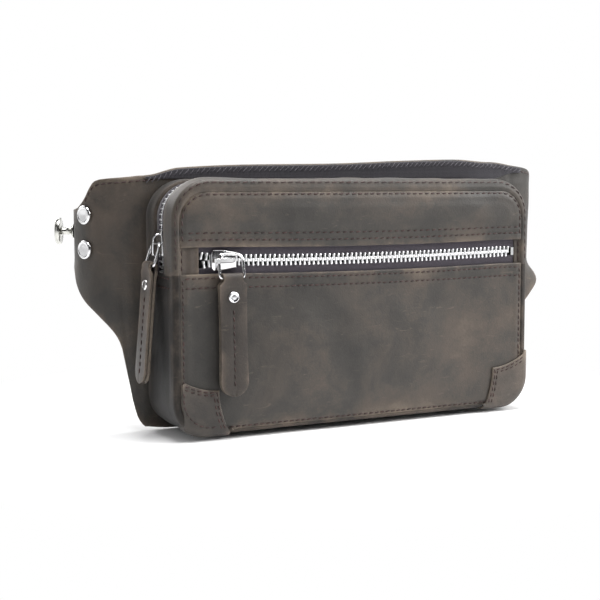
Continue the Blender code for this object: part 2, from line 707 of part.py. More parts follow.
class Wing:
    """A wing bent backwards about vertical lines, from its flex line to its end."""

    def __init__(self, side, radius, curl_start, relax_below):
        self.side = side
        self.radius = radius
        self.start = curl_start
        self.relax_below = relax_below
        self.pivot = Vector((side * HINGE_X, -BACK_T / 2, 0))

    def angle(self, s, z):
        """Bend angle reached at distance s; the lower lobe of a relaxed wing bends less."""
        ease = 1.0
        if self.relax_below:
            ease = min(max((z - RELAX_LOW) / (RELAX_HIGH - RELAX_LOW), 0.0), 1.0)
            ease = RELAX_BEND + (1 - RELAX_BEND) * ease * ease * (3 - 2 * ease)
        return max(s - self.start, 0.0) / self.radius * ease

    def point(self, s, z, depth):
        """World point at distance s from the flex line, depth below the outer face."""
        bend = self.angle(s, z)
        flat = min(s, self.start)
        if bend < 1e-9:
            across, back = s, depth
        else:
            radius = (s - self.start) / bend
            across = flat + (radius - depth) * math.sin(bend)
            back = radius - (radius - depth) * math.cos(bend)
        x = self.side * (HINGE_X + HINGE_GAP + across)
        return Vector((x, -BACK_T + back, z))

    def outward(self, s, z):
        bend = self.angle(s, z)
        return Vector((self.side * math.sin(bend), -math.cos(bend), 0))

    def along(self, s, z):
        bend = self.angle(s, z)
        return Vector((self.side * math.cos(bend), math.sin(bend), 0))

    def rivet_frame(self, s, z):
        """Local frame on the outer face, n outwards."""
        out = self.outward(s, z)
        up = Vector((0, 0, 1))
        return frame_at(self.point(s, z, 0), up.cross(out), up, out)


def build_wing(name, wing, top_curve, bottom_curve, mats):
    rows = 6
    outer, inner = [], []
    for k in range(WING_COLUMNS + 1):
        s = WING_LEN * k / WING_COLUMNS
        low, high = smooth_curve(bottom_curve, s), smooth_curve(top_curve, s)
        levels = [low + (high - low) * r / rows for r in range(rows + 1)]
        outer.append([wing.point(s, z, 0) for z in levels])
        inner.append([wing.point(s, z, LEATHER) for z in levels])
    return grid_solid(name, outer, inner, mats["oiled_leather"], wing.pivot, smooth=True)


def cap_rivet(name, wing, s, z, stack, back_gap, mats):
    top = GAP + RIVET_DOME
    back = -stack - back_gap
    profile = ((0, top), (2.4, top - 0.2), (4.4, top - 0.9), (5.6, top - 1.6),
               (RIVET_R, GAP + 0.3), (RIVET_R - 0.3, GAP), (RIVET_SHANK_R, GAP),
               (RIVET_SHANK_R, back),
               (RIVET_BACK_R, back), (RIVET_BACK_R - 0.4, back - 0.7), (0, back - 0.9))
    turned(name, profile, wing.rivet_frame(s, z), mats["chrome"], wing.pivot)


def build_left_side(mats):
    wing = Wing(-1, LEFT_CURL_R, LEFT_CURL_START, relax_below=False)
    leather = build_wing("left_wing", wing, LEFT_WING_TOP, LEFT_WING_BOTTOM, mats)
    under = LEATHER + GAP
    low, high = STRAP_Z - LEFT_TAB_HALF_H, STRAP_Z + LEFT_TAB_HALF_H
    outer, inner = [], []
    end, columns = WING_LEN - 2.0, 12
    for k in range(columns + 1):
        s = LEFT_TAB_START + (end - LEFT_TAB_START) * k / columns
        outer.append([wing.point(s, z, under) for z in (low, high)])
        inner.append([wing.point(s, z, under + LEATHER) for z in (low, high)])
    tab = grid_solid("left_strap_tab", outer, inner, mats["dark_leather"], wing.pivot,
                     smooth=True)

    stack = under + LEATHER
    for name, z in (("left_rivet_upper", STRAP_Z + RIVET_PITCH / 2),
                    ("left_rivet_lower", STRAP_Z - RIVET_PITCH / 2)):
        place = wing.rivet_frame(LEFT_RIVET_S, z)
        for piece in (leather, tab):
            bore(piece, place(0, 0, 0), wing.outward(LEFT_RIVET_S, z), RIVET_HOLE_R, 12.0)
        cap_rivet(name, wing, LEFT_RIVET_S, z, stack, GAP + 0.4, mats)

    for piece in (leather, tab):
        bore(piece, wing.point(STUD_S, STRAP_Z, 0), wing.outward(STUD_S, STRAP_Z), 1.6, 12.0)
    build_stud(wing, -stack - GAP - 0.4, mats)


def build_stud(wing, screw_back, mats):
    """Round-headed stud the belt strap buttons onto, and the screw that holds it."""
    place = wing.rivet_frame(STUD_S, STRAP_Z)
    socket_r, socket_depth, foot_r = 1.3, 5.0, 4.5
    neck_top = GAP + STUD_NECK_LEN
    head_top = neck_top + STUD_HEAD_T
    stud = ((0, socket_depth), (socket_r, socket_depth), (socket_r, GAP), (foot_r, GAP),
            (foot_r, GAP + 0.9), (STUD_NECK_R, GAP + 1.4), (STUD_NECK_R, neck_top),
            (STUD_HEAD_R - 0.4, neck_top), (STUD_HEAD_R, neck_top + 0.4),
            (STUD_HEAD_R, head_top - 0.7), (STUD_HEAD_R - 0.7, head_top), (0, head_top + 0.2))
    turned("belt_stud", stud, place, mats["chrome"], wing.pivot, sides=24)
    shank_r, tip = socket_r - GAP, socket_depth - GAP
    screw = ((0, tip), (shank_r, tip), (shank_r, screw_back), (foot_r, screw_back),
             (foot_r - 0.3, screw_back - 1.0), (0, screw_back - 1.1))
    turned("belt_stud_screw", screw, place, mats["chrome"], wing.pivot, sides=16)


def path_band(name, path, half_t, low, high, material, pivot):
    """A strap on edge: path of (x, y, heading) in plan, extruded between two heights."""
    outer, inner = [], []
    for x, y, heading in path:
        side_x, side_y = -math.sin(heading), math.cos(heading)
        for target, sign in ((outer, half_t), (inner, -half_t)):
            px, py = x + side_x * sign, y + side_y * sign
            target.append([Vector((px, py, low)), Vector((px, py, high))])
    return grid_solid(name, outer, inner, material, pivot, smooth=True)


def turn(path, radius, degrees, steps):
    """Continue a plan path (x, y, heading) round an arc; left turns are positive."""
    x, y, heading = path[-1]
    sign = 1 if degrees > 0 else -1
    cx, cy = x - sign * radius * math.sin(heading), y + sign * radius * math.cos(heading)
    for k in range(1, steps + 1):
        h = heading + math.radians(degrees) * k / steps
        path.append((cx + sign * radius * math.sin(h), cy - sign * radius * math.cos(h), h))


def straight(path, length, steps=1):
    x, y, heading = path[-1]
    for k in range(1, steps + 1):
        reach = length * k / steps
        path.append((x + reach * math.cos(heading), y + reach * math.sin(heading), heading))


def build_right_side(mats):
    wing = Wing(1, RIGHT_CURL_R, RIGHT_CURL_START, relax_below=True)
    leather = build_wing("right_wing", wing, RIGHT_WING_TOP, RIGHT_WING_BOTTOM, mats)
    low, high = STRAP_Z - STRAP_W / 2, STRAP_Z + STRAP_W / 2
    half_t = LEATHER / 2
    under = LEATHER + GAP + half_t
    loop_r = BELT_WIRE_R + GAP + half_t

    # tab: along the wing's inner face, then hooked round the ring's near bar
    path = []
    for k in range(7):
        s = RIGHT_TAB_START + (WING_LEN - RIGHT_TAB_START) * k / 6
        p = wing.point(s, STRAP_Z, under)
        heading = wing.along(s, STRAP_Z)
        path.append((p.x, p.y, math.atan2(heading.y, heading.x)))
    straight(path, 3.0)
    x, y, heading = path[-1]
    bar = Vector((x - loop_r * math.sin(heading), y + loop_r * math.cos(heading), 0))
    turn(path, loop_r, 300, 12)
    tab = path_band("right_strap_tab", path, half_t, low, high, mats["dark_leather"], wing.pivot)

    stack = 2 * LEATHER + GAP
    for name, z in (("right_rivet_upper", STRAP_Z + RIVET_PITCH / 2),
                    ("right_rivet_lower", STRAP_Z - RIVET_PITCH / 2)):
        place = wing.rivet_frame(RIGHT_RIVET_S, z)
        for piece in (leather, tab):
            bore(piece, place(0, 0, 0), wing.outward(RIGHT_RIVET_S, z), RIVET_HOLE_R, 8.0)
        cap_rivet(name, wing, RIGHT_RIVET_S, z, stack, GAP + 0.6, mats)
    build_belt_ring(bar, heading, loop_r, mats)


def build_belt_ring(bar, heading, loop_r, mats):
    """Rectangular wire ring on the tab, and the belt strap looped on its far bar."""
    along = Vector((math.cos(heading), math.sin(heading), 0))
    side = Vector((-along.y, along.x, 0))
    up = Vector((0, 0, 1))
    half_h, reach = STRAP_W / 2 + 3.2, BELT_RING_REACH
    corner, sides = 2.5, 8
    centre = bar + up * STRAP_Z
    path = corner_arc((reach - corner, half_h - corner), corner, 90, 0, 3)
    path += corner_arc((reach - corner, -half_h + corner), corner, 0, -90, 3)
    path += corner_arc((corner, -half_h + corner), corner, -90, -180, 3)
    path += corner_arc((corner, half_h - corner), corner, 180, 90, 3)
    bm = bmesh.new()
    loops = []
    for a, b, angle in path:
        loop = []
        for k in range(sides):
            t = 2 * math.pi * k / sides
            out = BELT_WIRE_R * math.cos(t)
            loop.append(bm.verts.new(centre + along * (a + out * math.cos(angle))
                                     + up * (b + out * math.sin(angle))
                                     + side * (BELT_WIRE_R * math.sin(t))))
        loops.append(loop)
    for here, there in zip(loops, loops[1:] + loops[:1]):
        for k in range(sides):
            m = (k + 1) % sides
            bm.faces.new((here[k], here[m], there[m], there[k]))
    add_object("belt_ring", bm, mats["chrome"], bar, smooth=True)
    build_strap(bar + along * reach, heading, loop_r, mats)


def build_strap(far_bar, heading, loop_r, mats):
    """Belt strap: looped on the ring, running behind the pack and doubled back."""
    low, high = STRAP_Z - STRAP_W / 2, STRAP_Z + STRAP_W / 2
    half_t = LEATHER / 2
    # hook round the bar through the ring, leaving away from it
    start = heading - math.radians(BELT_WRAP)
    path = [(far_bar.x + loop_r * math.sin(start), far_bar.y - loop_r * math.cos(start), start)]
    turn(path, loop_r, BELT_WRAP, 10)
    straight(path, 3.0, 2)
    turn(path, STRAP_BEND_R, 180 - math.degrees(heading), 6)
    straight(path, STRAP_INNER_RUN, 5)
    turn(path, STRAP_FOLD_R, -180, 12)
    straight(path, STRAP_OUTER_RUN, 5)
    strap = path_band("belt_strap", path, half_t, low, high, mats["oiled_leather"], far_bar)

    end_x, end_y, _ = path[-1]
    hole_r, slit_len, slit_half = 2.6, 9.0, 0.45
    keyhole = [(hole_r * math.cos(math.radians(a)), hole_r * math.sin(math.radians(a)))
               for a in range(15, 346, 30)]
    keyhole += [(slit_len, -slit_half), (slit_len, slit_half)]
    for k in range(STRAP_HOLES):
        x = end_x - STRAP_FIRST_HOLE - STRAP_HOLE_PITCH * k
        place = frame_at((x, end_y, STRAP_Z), (1, 0, 0), (0, 0, 1), (0, -1, 0))
        punch(strap, keyhole, place, 3.0)


def build_all():
    clear_scene()
    mats = make_materials()
    build_pouch(mats)
    build_front_zip(mats)
    build_main_zip(mats)
    build_front_hardware(mats)
    build_main_hardware(mats)
    build_back(mats)
    build_left_side(mats)
    build_right_side(mats)


build_all()
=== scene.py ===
"""Looks of the leather waist pack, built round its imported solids.

Lengths are in millimetres until a mesh is made, and the axes are the frame's: -Y out of the
front, +Z up. Leather is modelled as shells of its real thickness, sewn with separate
stitches, and the pouch takes its soft shape from a cloth simulation.
"""

import json
import math
import random

import bmesh
import bpy
import numpy as np
from mathutils import Matrix, Vector, noise
from mathutils.kdtree import KDTree


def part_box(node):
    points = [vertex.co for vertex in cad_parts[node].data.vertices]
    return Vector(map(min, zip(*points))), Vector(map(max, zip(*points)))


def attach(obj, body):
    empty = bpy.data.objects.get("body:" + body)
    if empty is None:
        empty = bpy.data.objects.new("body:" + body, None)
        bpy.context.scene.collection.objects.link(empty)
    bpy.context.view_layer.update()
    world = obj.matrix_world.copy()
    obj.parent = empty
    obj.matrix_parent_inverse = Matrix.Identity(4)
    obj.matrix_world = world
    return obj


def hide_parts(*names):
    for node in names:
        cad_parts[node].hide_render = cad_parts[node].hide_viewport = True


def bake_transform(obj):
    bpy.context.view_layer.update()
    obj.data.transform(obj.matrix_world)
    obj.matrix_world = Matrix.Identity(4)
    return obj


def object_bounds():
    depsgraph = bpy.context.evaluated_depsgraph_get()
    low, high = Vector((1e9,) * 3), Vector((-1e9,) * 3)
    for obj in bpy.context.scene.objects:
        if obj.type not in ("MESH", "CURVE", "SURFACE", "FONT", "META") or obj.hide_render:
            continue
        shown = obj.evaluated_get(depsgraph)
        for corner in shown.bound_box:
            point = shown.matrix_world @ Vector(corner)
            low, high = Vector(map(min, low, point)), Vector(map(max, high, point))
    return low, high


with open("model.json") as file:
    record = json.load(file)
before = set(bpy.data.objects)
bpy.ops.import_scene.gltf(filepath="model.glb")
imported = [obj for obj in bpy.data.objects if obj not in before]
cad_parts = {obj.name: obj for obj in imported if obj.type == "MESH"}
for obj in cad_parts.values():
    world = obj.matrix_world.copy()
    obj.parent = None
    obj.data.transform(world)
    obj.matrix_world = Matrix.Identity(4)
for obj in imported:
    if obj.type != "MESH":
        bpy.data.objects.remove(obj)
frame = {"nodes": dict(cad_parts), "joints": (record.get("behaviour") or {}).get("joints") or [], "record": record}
cad_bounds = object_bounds()
random.seed(7)

MM = 0.001


def linked(name, data):
    """A new object in the scene."""
    obj = bpy.data.objects.new(name, data)
    bpy.context.scene.collection.objects.link(obj)
    return obj


def box(node):
    """Lowest and highest corner of a CAD node, in millimetres."""
    low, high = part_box(node)
    return low / MM, high / MM


# ---- sizes taken from the frame ----
POCKET_LOW, POCKET_HIGH = box("front_pocket_panel")
X0, X1 = POCKET_LOW.x, POCKET_HIGH.x
FRONT_Y = POCKET_LOW.y
LEATHER = POCKET_HIGH.y - POCKET_LOW.y
POUCH_BOTTOM = POCKET_LOW.z
POUCH_TOP = box("front_top_panel")[1].z
WINDOW_LOW = POCKET_HIGH.z
WINDOW_HIGH = box("upper_flap_band")[0].z
WINDOW_X0 = box("zip_end_cap_left")[1].x
WINDOW_X1 = box("zip_end_cap_right")[0].x
BACK_Y = box("gusset_body")[1].y
SEAM_Z = box("gusset_top_front")[0].z
TAPE_LOW, TAPE_HIGH = box("front_zip_tape_upper")
ZIP_Z = (TAPE_LOW.z + box("front_zip_tape_lower")[1].z) / 2
ZIP_Y = (TAPE_LOW.y + TAPE_HIGH.y) / 2
ZIP_DEPTH = ZIP_Y - FRONT_Y
TEETH_X0, TEETH_X1 = box("front_zip_teeth_upper")[0].x, box("front_zip_teeth_upper")[1].x
MAIN_FRONT_EDGE = box("gusset_top_front")[1].y
MAIN_REAR_EDGE = box("gusset_top_rear")[0].y
MAIN_ZIP_Y = (MAIN_FRONT_EDGE + MAIN_REAR_EDGE) / 2
FRONT_SLIDER = box("front_slider")
MAIN_SLIDER = box("main_slider")
STRAP_LOW, STRAP_HIGH = box("belt_strap")[0].z, box("belt_strap")[1].z
STRAP_Z = (STRAP_LOW + STRAP_HIGH) / 2
PIVOTS = {joint["child"]: Vector(joint["pos_m"]) / MM
          for joint in frame["joints"] if joint["type"] == "hinge"}
SLIDER_X = (FRONT_SLIDER[0].x + FRONT_SLIDER[1].x) / 2
SLIDER_TRAVEL = next(joint["range_m"][1] for joint in frame["record"]["behaviour"]["joints"]
                     if joint["name"] == "front_zip_slide") / MM
SAG_HALF = SLIDER_TRAVEL / 2
SAG_CENTRE = SLIDER_X + SAG_HALF
PANEL_T = box("back_panel")[1].y - box("back_panel")[0].y

# ---- shape of the pouch ----
CORNER_TOP, CORNER_BOTTOM = 24.0, 20.0
EDGE_R = 2.6                    # roundness of the pouch's front edge
INSET_SIDE, INSET_TOP, INSET_BOTTOM = 4.6, 7.5, 2.2    # from the edge to the front panels
PANEL_R_TOP, PANEL_R_BOTTOM = 17.5, 17.0
PANEL_PROUD, POCKET_PROUD = 0.5, 0.1
STITCH_IN = 1.6                 # stitch line inside a panel's edge
BORDER_STITCH_IN = 1.9
BAND_STITCH_Z = (122.0, 118.0)
POCKET_STITCH_Z = (95.0, 89.2)
PATCH_T = 1.4
END_CAP_IN, END_CAP_T = 1.9, 1.2    # leather at both ends of the front zip
ZIP_SAG = 1.4                   # of the front zip between the ends of its slider's travel

# ---- back panel and wings ----
FLEX_X = abs(PIVOTS["left_wing"].x) + 0.8
# outlines as (x, height) behind the pouch, and (distance from the flex line, height) beyond it
CENTRE_TOP = ((-127, 156.5), (-105, 161.3), (-60, 163.5), (0, 164.5), (60, 167), (100, 168),
              (127, 166.5))
LEFT_TOP = ((0, 156.3), (8, 155.6), (15, 155), (24, 154.3), (31, 152.8), (36, 148.2), (40, 142.8),
            (44, 138.8), (49, 136.2), (55, 135.2), (64, 134.8), (74, 134.8))
RIGHT_TOP = ((0, 166.5), (20, 164), (35, 162), (41, 160), (46, 152), (52, 143), (58, 140),
             (64, 139.5), (74, 139.5))
LEFT_BOTTOM = ((0, -1), (4, 3), (7.5, 13), (10, 26), (12.5, 39), (15, 51), (19, 58.5),
               (25, 65), (33, 72), (42, 79), (51, 88), (57, 96.5), (63, 99), (74, 99))
RIGHT_BOTTOM = ((0, -1), (4, 3), (8, 13), (11, 26), (14, 39), (18, 51), (24, 58.5), (32, 65),
                (41, 72), (50, 79), (56, 88), (60, 96.5), (64, 99), (74, 99))
WING_LEN = 74.0
PANEL_DROP = 3.0                # how far the back panel reaches below the pouch
RELAX_LOW, RELAX_HIGH, RELAX_BEND = 78.0, 98.0, 0.50    # the right wing curls less low down

# ---- zips ----
TOOTH_PITCH = 3.15
CHAIN_HALF = 3.8
TAPE_T = 0.7
TAPE_W = 12.0
MAIN_TAPE_W = 10.5


# ---- materials ----
class Nodes:
    """A node tree being built; every socket is addressed by name."""

    def __init__(self, tree, coords):
        self.tree = tree
        self.coords = tree.nodes.new("ShaderNodeTexCoord").outputs[coords]

    def set(self, socket, value):
        """Give an input a number, a colour or another node's output."""
        if hasattr(value, "is_output"):
            self.tree.links.new(value, socket)
        elif isinstance(value, tuple) and len(value) == 3 and socket.type == "RGBA":
            socket.default_value = (*value, 1.0)
        else:
            socket.default_value = value

    def node(self, kind, settings=None, **inputs):
        made = self.tree.nodes.new(kind)
        for key, value in (settings or {}).items():
            setattr(made, key, value)
        for key, value in inputs.items():
            self.set(made.inputs[key.replace("_", " ")], value)
        return made

    def noise(self, scale, detail=3.0, roughness=0.5, distortion=0.0, stretch=(1, 1, 1)):
        mapped = self.node("ShaderNodeMapping", Vector=self.coords, Scale=stretch)
        made = self.node("ShaderNodeTexNoise", Vector=mapped.outputs[0], Scale=scale,
                         Detail=detail, Roughness=roughness, Distortion=distortion)
        return made.outputs["Fac"]

    def cells(self, scale, feature="F1", stretch=(1, 1, 1)):
        mapped = self.node("ShaderNodeMapping", Vector=self.coords, Scale=stretch)
        made = self.node("ShaderNodeTexVoronoi", {"feature": feature},
                         Vector=mapped.outputs[0], Scale=scale)
        return made.outputs["Distance"]

    def wave(self, scale, direction, distortion=0.0):
        made = self.node("ShaderNodeTexWave", {"bands_direction": direction},
                         Vector=self.coords, Scale=scale, Distortion=distortion)
        return made.outputs["Fac"]

    def math(self, operation, a, b=0.0, clamp=False):
        made = self.tree.nodes.new("ShaderNodeMath")
        made.operation = operation
        made.use_clamp = clamp
        self.set(made.inputs[0], a)
        self.set(made.inputs[1], b)
        return made.outputs[0]

    def weighted(self, a, share_a, b, share_b):
        """Sum of two outputs, each with its own share."""
        a, b = self.math("MULTIPLY", a, share_a), self.math("MULTIPLY", b, share_b)
        return self.math("ADD", a, b)

    def spread(self, value, low, high, to_low=0.0, to_high=1.0, curve="LINEAR"):
        made = self.node("ShaderNodeMapRange", {"interpolation_type": curve}, Value=value,
                         From_Min=low, From_Max=high, To_Min=to_low, To_Max=to_high)
        return made.outputs[0]

    def ramp(self, value, stops):
        made = self.node("ShaderNodeValToRGB", Fac=value)
        elements = made.color_ramp.elements
        while len(elements) < len(stops):
            elements.new(0.5)
        for element, (place, colour) in zip(elements, stops):
            element.position = place
            element.color = (*colour, 1.0)
        return made.outputs["Color"]

    def mix(self, share, a, b):
        made = self.tree.nodes.new("ShaderNodeMix")
        made.data_type = "RGBA"
        self.set(made.inputs["Factor"], share)
        self.set(made.inputs[6], a)
        self.set(made.inputs[7], b)
        return made.outputs[2]

    def bump(self, height, distance, strength=1.0, below=None):
        made = self.node("ShaderNodeBump", Height=height, Distance=distance, Strength=strength)
        if below is not None:
            self.set(made.inputs["Normal"], below)
        return made.outputs["Normal"]

    def attribute(self, name):
        return self.node("ShaderNodeAttribute", {"attribute_name": name}).outputs["Fac"]

    def mix_shaders(self, share, a, b):
        made = self.tree.nodes.new("ShaderNodeMixShader")
        for socket, value in zip(made.inputs, (share, a, b)):
            self.set(socket, value)
        return made.outputs[0]


class Shader(Nodes):
    """The node tree of a new material."""

    def __init__(self, name):
        self.material = bpy.data.materials.new(name)
        self.material.use_nodes = True
        super().__init__(self.material.node_tree, "Object")
        self.surface = self.tree.nodes["Principled BSDF"]

    def finish(self, **inputs):
        for key, value in inputs.items():
            self.set(self.surface.inputs[key.replace("_", " ")], value)
        return self.material


def leather(name, dark, middle, brown, light, gloss=0.50, shine=0.42):
    """Waxed pull-up leather: mottled, lighter and browner where it is bent or rubbed, and lighter where painted
    light rides on the wear.
    """
    s = Shader(name)
    broad = s.noise(11.0, 3.0, 0.55, 0.7)
    mottle = s.noise(48.0, 6.0, 0.62, 0.3)
    speck = s.noise(700.0, 2.0, 0.6)
    scuff = s.noise(60.0, 5.0, 0.7, 1.2, stretch=(1.0, 1.0, 4.0))
    # The wear attribute lightens worn edges; on the gusset's front band it also carries painted light.
    wear_and_light = s.attribute("wear_and_light")
    tone = s.weighted(broad, 0.62, mottle, 0.38)
    tone = s.math("ADD", tone, s.math("MULTIPLY", s.math("SUBTRACT", speck, 0.5), 0.10))
    rubbed_and_lit = s.math("MULTIPLY", wear_and_light, s.spread(mottle, 0.35, 0.65, 0.25, 1.0))
    tone = s.math("ADD", tone, s.math("MULTIPLY", rubbed_and_lit, 0.26))
    base = s.ramp(tone, ((0.34, dark), (0.48, middle), (0.58, brown), (0.78, light)))
    rusty = s.spread(s.noise(26.0, 5.0, 0.65, 0.8), 0.50, 0.66, 0.0, 0.45)
    base = s.mix(rusty, base, brown)
    scratch = s.spread(scuff, 0.62, 0.74, 0.0, 0.45)
    base = s.mix(scratch, base, light)
    pores = s.cells(900.0)
    creases = s.cells(210.0, "DISTANCE_TO_EDGE")
    grain = s.bump(s.noise(1500.0, 3.0, 0.6), 0.00010, 0.35)
    grain = s.bump(pores, 0.00014, 0.30, grain)
    grain = s.bump(s.spread(creases, 0.0, 0.10), 0.00010, 0.22, grain)
    grain = s.bump(mottle, 0.0008, 0.16, grain)
    rough = s.spread(mottle, 0.3, 0.7, gloss - 0.05, gloss + 0.09)
    return s.finish(Base_Color=base, Roughness=rough, Specular_IOR_Level=shine, Normal=grain,
                    Sheen_Weight=0.10, Sheen_Roughness=0.45)


def raw_edge(name, dark, light):
    """Cut edge of the leather: fibrous, layered and paler than the face."""
    s = Shader(name)
    fibre = s.noise(420.0, 5.0, 0.75)
    patch = s.noise(60.0, 3.0, 0.5)
    base = s.ramp(s.weighted(fibre, 0.6, patch, 0.4), ((0.32, dark), (0.68, light)))
    return s.finish(Base_Color=base, Roughness=0.85, Normal=s.bump(fibre, 0.00025, 0.7))


def woven(name, dark, light, thread_scale):
    """Fine woven cloth: two crossed sets of threads with some fuzz."""
    s = Shader(name)
    warp = s.wave(thread_scale, "X")
    weft = s.wave(thread_scale, "Z")
    depth = s.wave(thread_scale, "Y")
    weave = s.math("MULTIPLY", s.math("MAXIMUM", warp, weft), s.spread(depth, 0, 1, 0.7, 1.0))
    fuzz = s.noise(900.0, 3.0, 0.7)
    blend = s.weighted(weave, 0.55, fuzz, 0.45)
    base = s.ramp(blend, ((0.25, dark), (0.85, light)))
    return s.finish(Base_Color=base, Roughness=0.92, Sheen_Weight=0.25, Sheen_Roughness=0.5,
                    Normal=s.bump(blend, 0.00018, 0.8))


def thread(name, dark, light):
    """Waxed twisted thread."""
    s = Shader(name)
    twist = s.noise(1400.0, 3.0, 0.6, stretch=(1.0, 1.0, 2.0))
    base = s.ramp(s.noise(260.0, 4.0, 0.6), ((0.35, dark), (0.68, light)))
    return s.finish(Base_Color=base, Roughness=0.62, Normal=s.bump(twist, 0.00012, 0.6))


def polished(name, tint, roughness, metallic=1.0):
    """Polished plating with faint handling marks."""
    s = Shader(name)
    smear = s.noise(160.0, 4.0, 0.6)
    hairline = s.noise(900.0, 3.0, 0.7, stretch=(1.0, 1.0, 0.08))
    base = s.ramp(smear, ((0.3, tuple(c * 0.90 for c in tint)), (0.7, tint)))
    rough = s.spread(smear, 0.3, 0.7, roughness, roughness + 0.08)
    return s.finish(Base_Color=base, Metallic=metallic, Roughness=rough,
                    Normal=s.bump(hairline, 0.00002, 0.15))


def make_looks():
    face = leather("waxed_leather", (0.0175, 0.016, 0.0138), (0.034, 0.0302, 0.0258),
                   (0.063, 0.049, 0.038), (0.138, 0.108, 0.080))
    # side leather: the face leather with darker tones and less shine, as painted shade for the gusset's sides and
    # rear strip and the strap tabs
    side = leather("shaded_side_leather", (0.0055, 0.005, 0.0046), (0.0105, 0.0092, 0.0083),
                   (0.022, 0.0178, 0.0148), (0.072, 0.056, 0.044), 0.57, 0.24)
    pull = leather("pull_leather", (0.019, 0.015, 0.012), (0.033, 0.026, 0.021),
                   (0.058, 0.044, 0.034), (0.140, 0.106, 0.080), 0.50)
    patch = leather("patch_leather", (0.024, 0.0205, 0.0175), (0.046, 0.038, 0.0315),
                    (0.086, 0.068, 0.054), (0.175, 0.140, 0.108))
    return {
        "face": face, "side": side, "pull": pull, "patch": patch,
        "edge": raw_edge("raw_leather_edge", (0.046, 0.038, 0.030), (0.165, 0.136, 0.104)),
        "tape": woven("zip_tape_cloth", (0.014, 0.011, 0.016), (0.062, 0.052, 0.066), 420.0),
        "facing": woven("facing_cloth", (0.010, 0.009, 0.012), (0.037, 0.034, 0.042), 330.0),
        "lining": woven("lining_cloth", (0.014, 0.013, 0.014), (0.050, 0.047, 0.050), 260.0),
        # thread: its own dark reddish brown, made darker still as painted shade of the stitch holes
        "thread": thread("shaded_brown_thread", (0.016, 0.007, 0.006), (0.050, 0.021, 0.018)),
        "pale_thread": thread("grey_thread", (0.050, 0.046, 0.054), (0.120, 0.112, 0.128)),
        "chrome": polished("polished_chrome", (0.90, 0.90, 0.91), 0.10),
        "nickel": polished("zip_nickel", (0.94, 0.94, 0.95), 0.26, 0.65),
        "steel": polished("stud_steel", (0.66, 0.66, 0.62), 0.20),
    }


LOOKS = make_looks()


# ---- soft shape of the pouch ----
def smoothstep(value, low, high):
    t = min(max((value - low) / (high - low), 0.0), 1.0)
    return t * t * (3 - 2 * t)


def rounded_distance(x, z, x0, x1, z0, z1, r_bottom, r_top):
    """Distance inside a rounded rectangle's edge (negative outside it)."""
    radius = r_top if z > (z0 + z1) / 2 else r_bottom
    dx = max(x0 + radius - x, x - x1 + radius)
    dz = max(z0 + radius - z, z - z1 + radius)
    if dx > 0 and dz > 0:
        return radius - math.hypot(dx, dz)
    return radius - max(dx, dz)


def panel_distance(x, z):
    """Distance inside the outline of the sewn-in front panels."""
    return rounded_distance(x, z, X0 + INSET_SIDE, X1 - INSET_SIDE, POUCH_BOTTOM + INSET_BOTTOM,
                            POUCH_TOP - INSET_TOP, PANEL_R_BOTTOM, PANEL_R_TOP)


CLOTH_SETTINGS = {"quality": 6, "mass": 0.4, "tension_stiffness": 25.0,
                  "compression_stiffness": 25.0, "bending_stiffness": 12.0,
                  "use_pressure": True, "uniform_pressure_force": 4.0,
                  "vertex_group_mass": "pins"}
CLOTH_STEPS = 20
CAGE_VOXEL = 0.006              # metres
CAGE_SHRINK = 0.99


def simulate_pouch():
    """Inflate a closed copy of the pouch as cloth; return its points and how far they moved."""
    bm = bmesh.new()
    outline = [(x, z) for x, z, _ in pouch_loop(0, 0, CORNER_TOP, True)]
    outline += [(x, z) for x, z, _ in reversed(pouch_loop(0, 0, CORNER_BOTTOM, False))][1:-1]
    middle_z = (POUCH_TOP + POUCH_BOTTOM) / 2
    rings = []
    for y in (FRONT_Y + 1.0, BACK_Y):
        places = [Vector((x * CAGE_SHRINK, y, middle_z + (z - middle_z) * CAGE_SHRINK))
                  for x, z in outline]
        rings.append([bm.verts.new(place * MM) for place in places])
        bm.faces.new(rings[-1])
    for k, vert in enumerate(rings[0]):
        m = (k + 1) % len(outline)
        bm.faces.new((vert, rings[0][m], rings[1][m], rings[1][k]))
    bmesh.ops.recalc_face_normals(bm, faces=bm.faces[:])
    mesh = bpy.data.meshes.new("cage")
    bm.to_mesh(mesh)
    bm.free()
    cage = linked("cage", mesh)
    remesh = cage.modifiers.new("remesh", "REMESH")
    remesh.mode = "VOXEL"
    remesh.voxel_size = CAGE_VOXEL
    bake_modifiers(cage)
    rest = np.array([v.co for v in cage.data.vertices]) / MM

    pins = cage.vertex_groups.new(name="pins")
    for index, (x, y, z) in enumerate(rest):
        hold = 1.0 - smoothstep(BACK_Y - y, 2.0, 12.0)
        if y < FRONT_Y + 8:
            hold = max(hold, 1.0 - smoothstep(abs(z - ZIP_Z), 9.0, 22.0))
        if z > SEAM_Z - 6:
            hold = max(hold, 1.0 - smoothstep(abs(y - MAIN_ZIP_Y), 7.0, 13.0))
        rim = rounded_distance(x, z, X0, X1, POUCH_BOTTOM, POUCH_TOP, CORNER_BOTTOM, CORNER_TOP)
        if y < FRONT_Y + 5 and rim < 7:
            hold = max(hold, 0.55)
        pins.add([index], hold, "REPLACE")
    cloth = cage.modifiers.new("cloth", "CLOTH").settings
    for key, value in CLOTH_SETTINGS.items():
        setattr(cloth, key, value)
    cloth.effector_weights.gravity = 0.0
    scene = bpy.context.scene
    for step in range(1, CLOTH_STEPS + 1):
        scene.frame_set(step)
    moved = evaluated_points(cage) / MM
    scene.frame_set(1)
    bpy.data.objects.remove(cage, do_unlink=True)
    return rest, moved - rest


def evaluated_points(obj):
    depsgraph = bpy.context.evaluated_depsgraph_get()
    evaluated = obj.evaluated_get(depsgraph)
    return np.array([v.co for v in evaluated.data.vertices])


def bake_modifiers(obj):
    """Replace an object's mesh with the result of its modifiers."""
    depsgraph = bpy.context.evaluated_depsgraph_get()
    mesh = bpy.data.meshes.new_from_object(obj.evaluated_get(depsgraph))
    obj.modifiers.clear()
    obj.data = mesh
    return obj


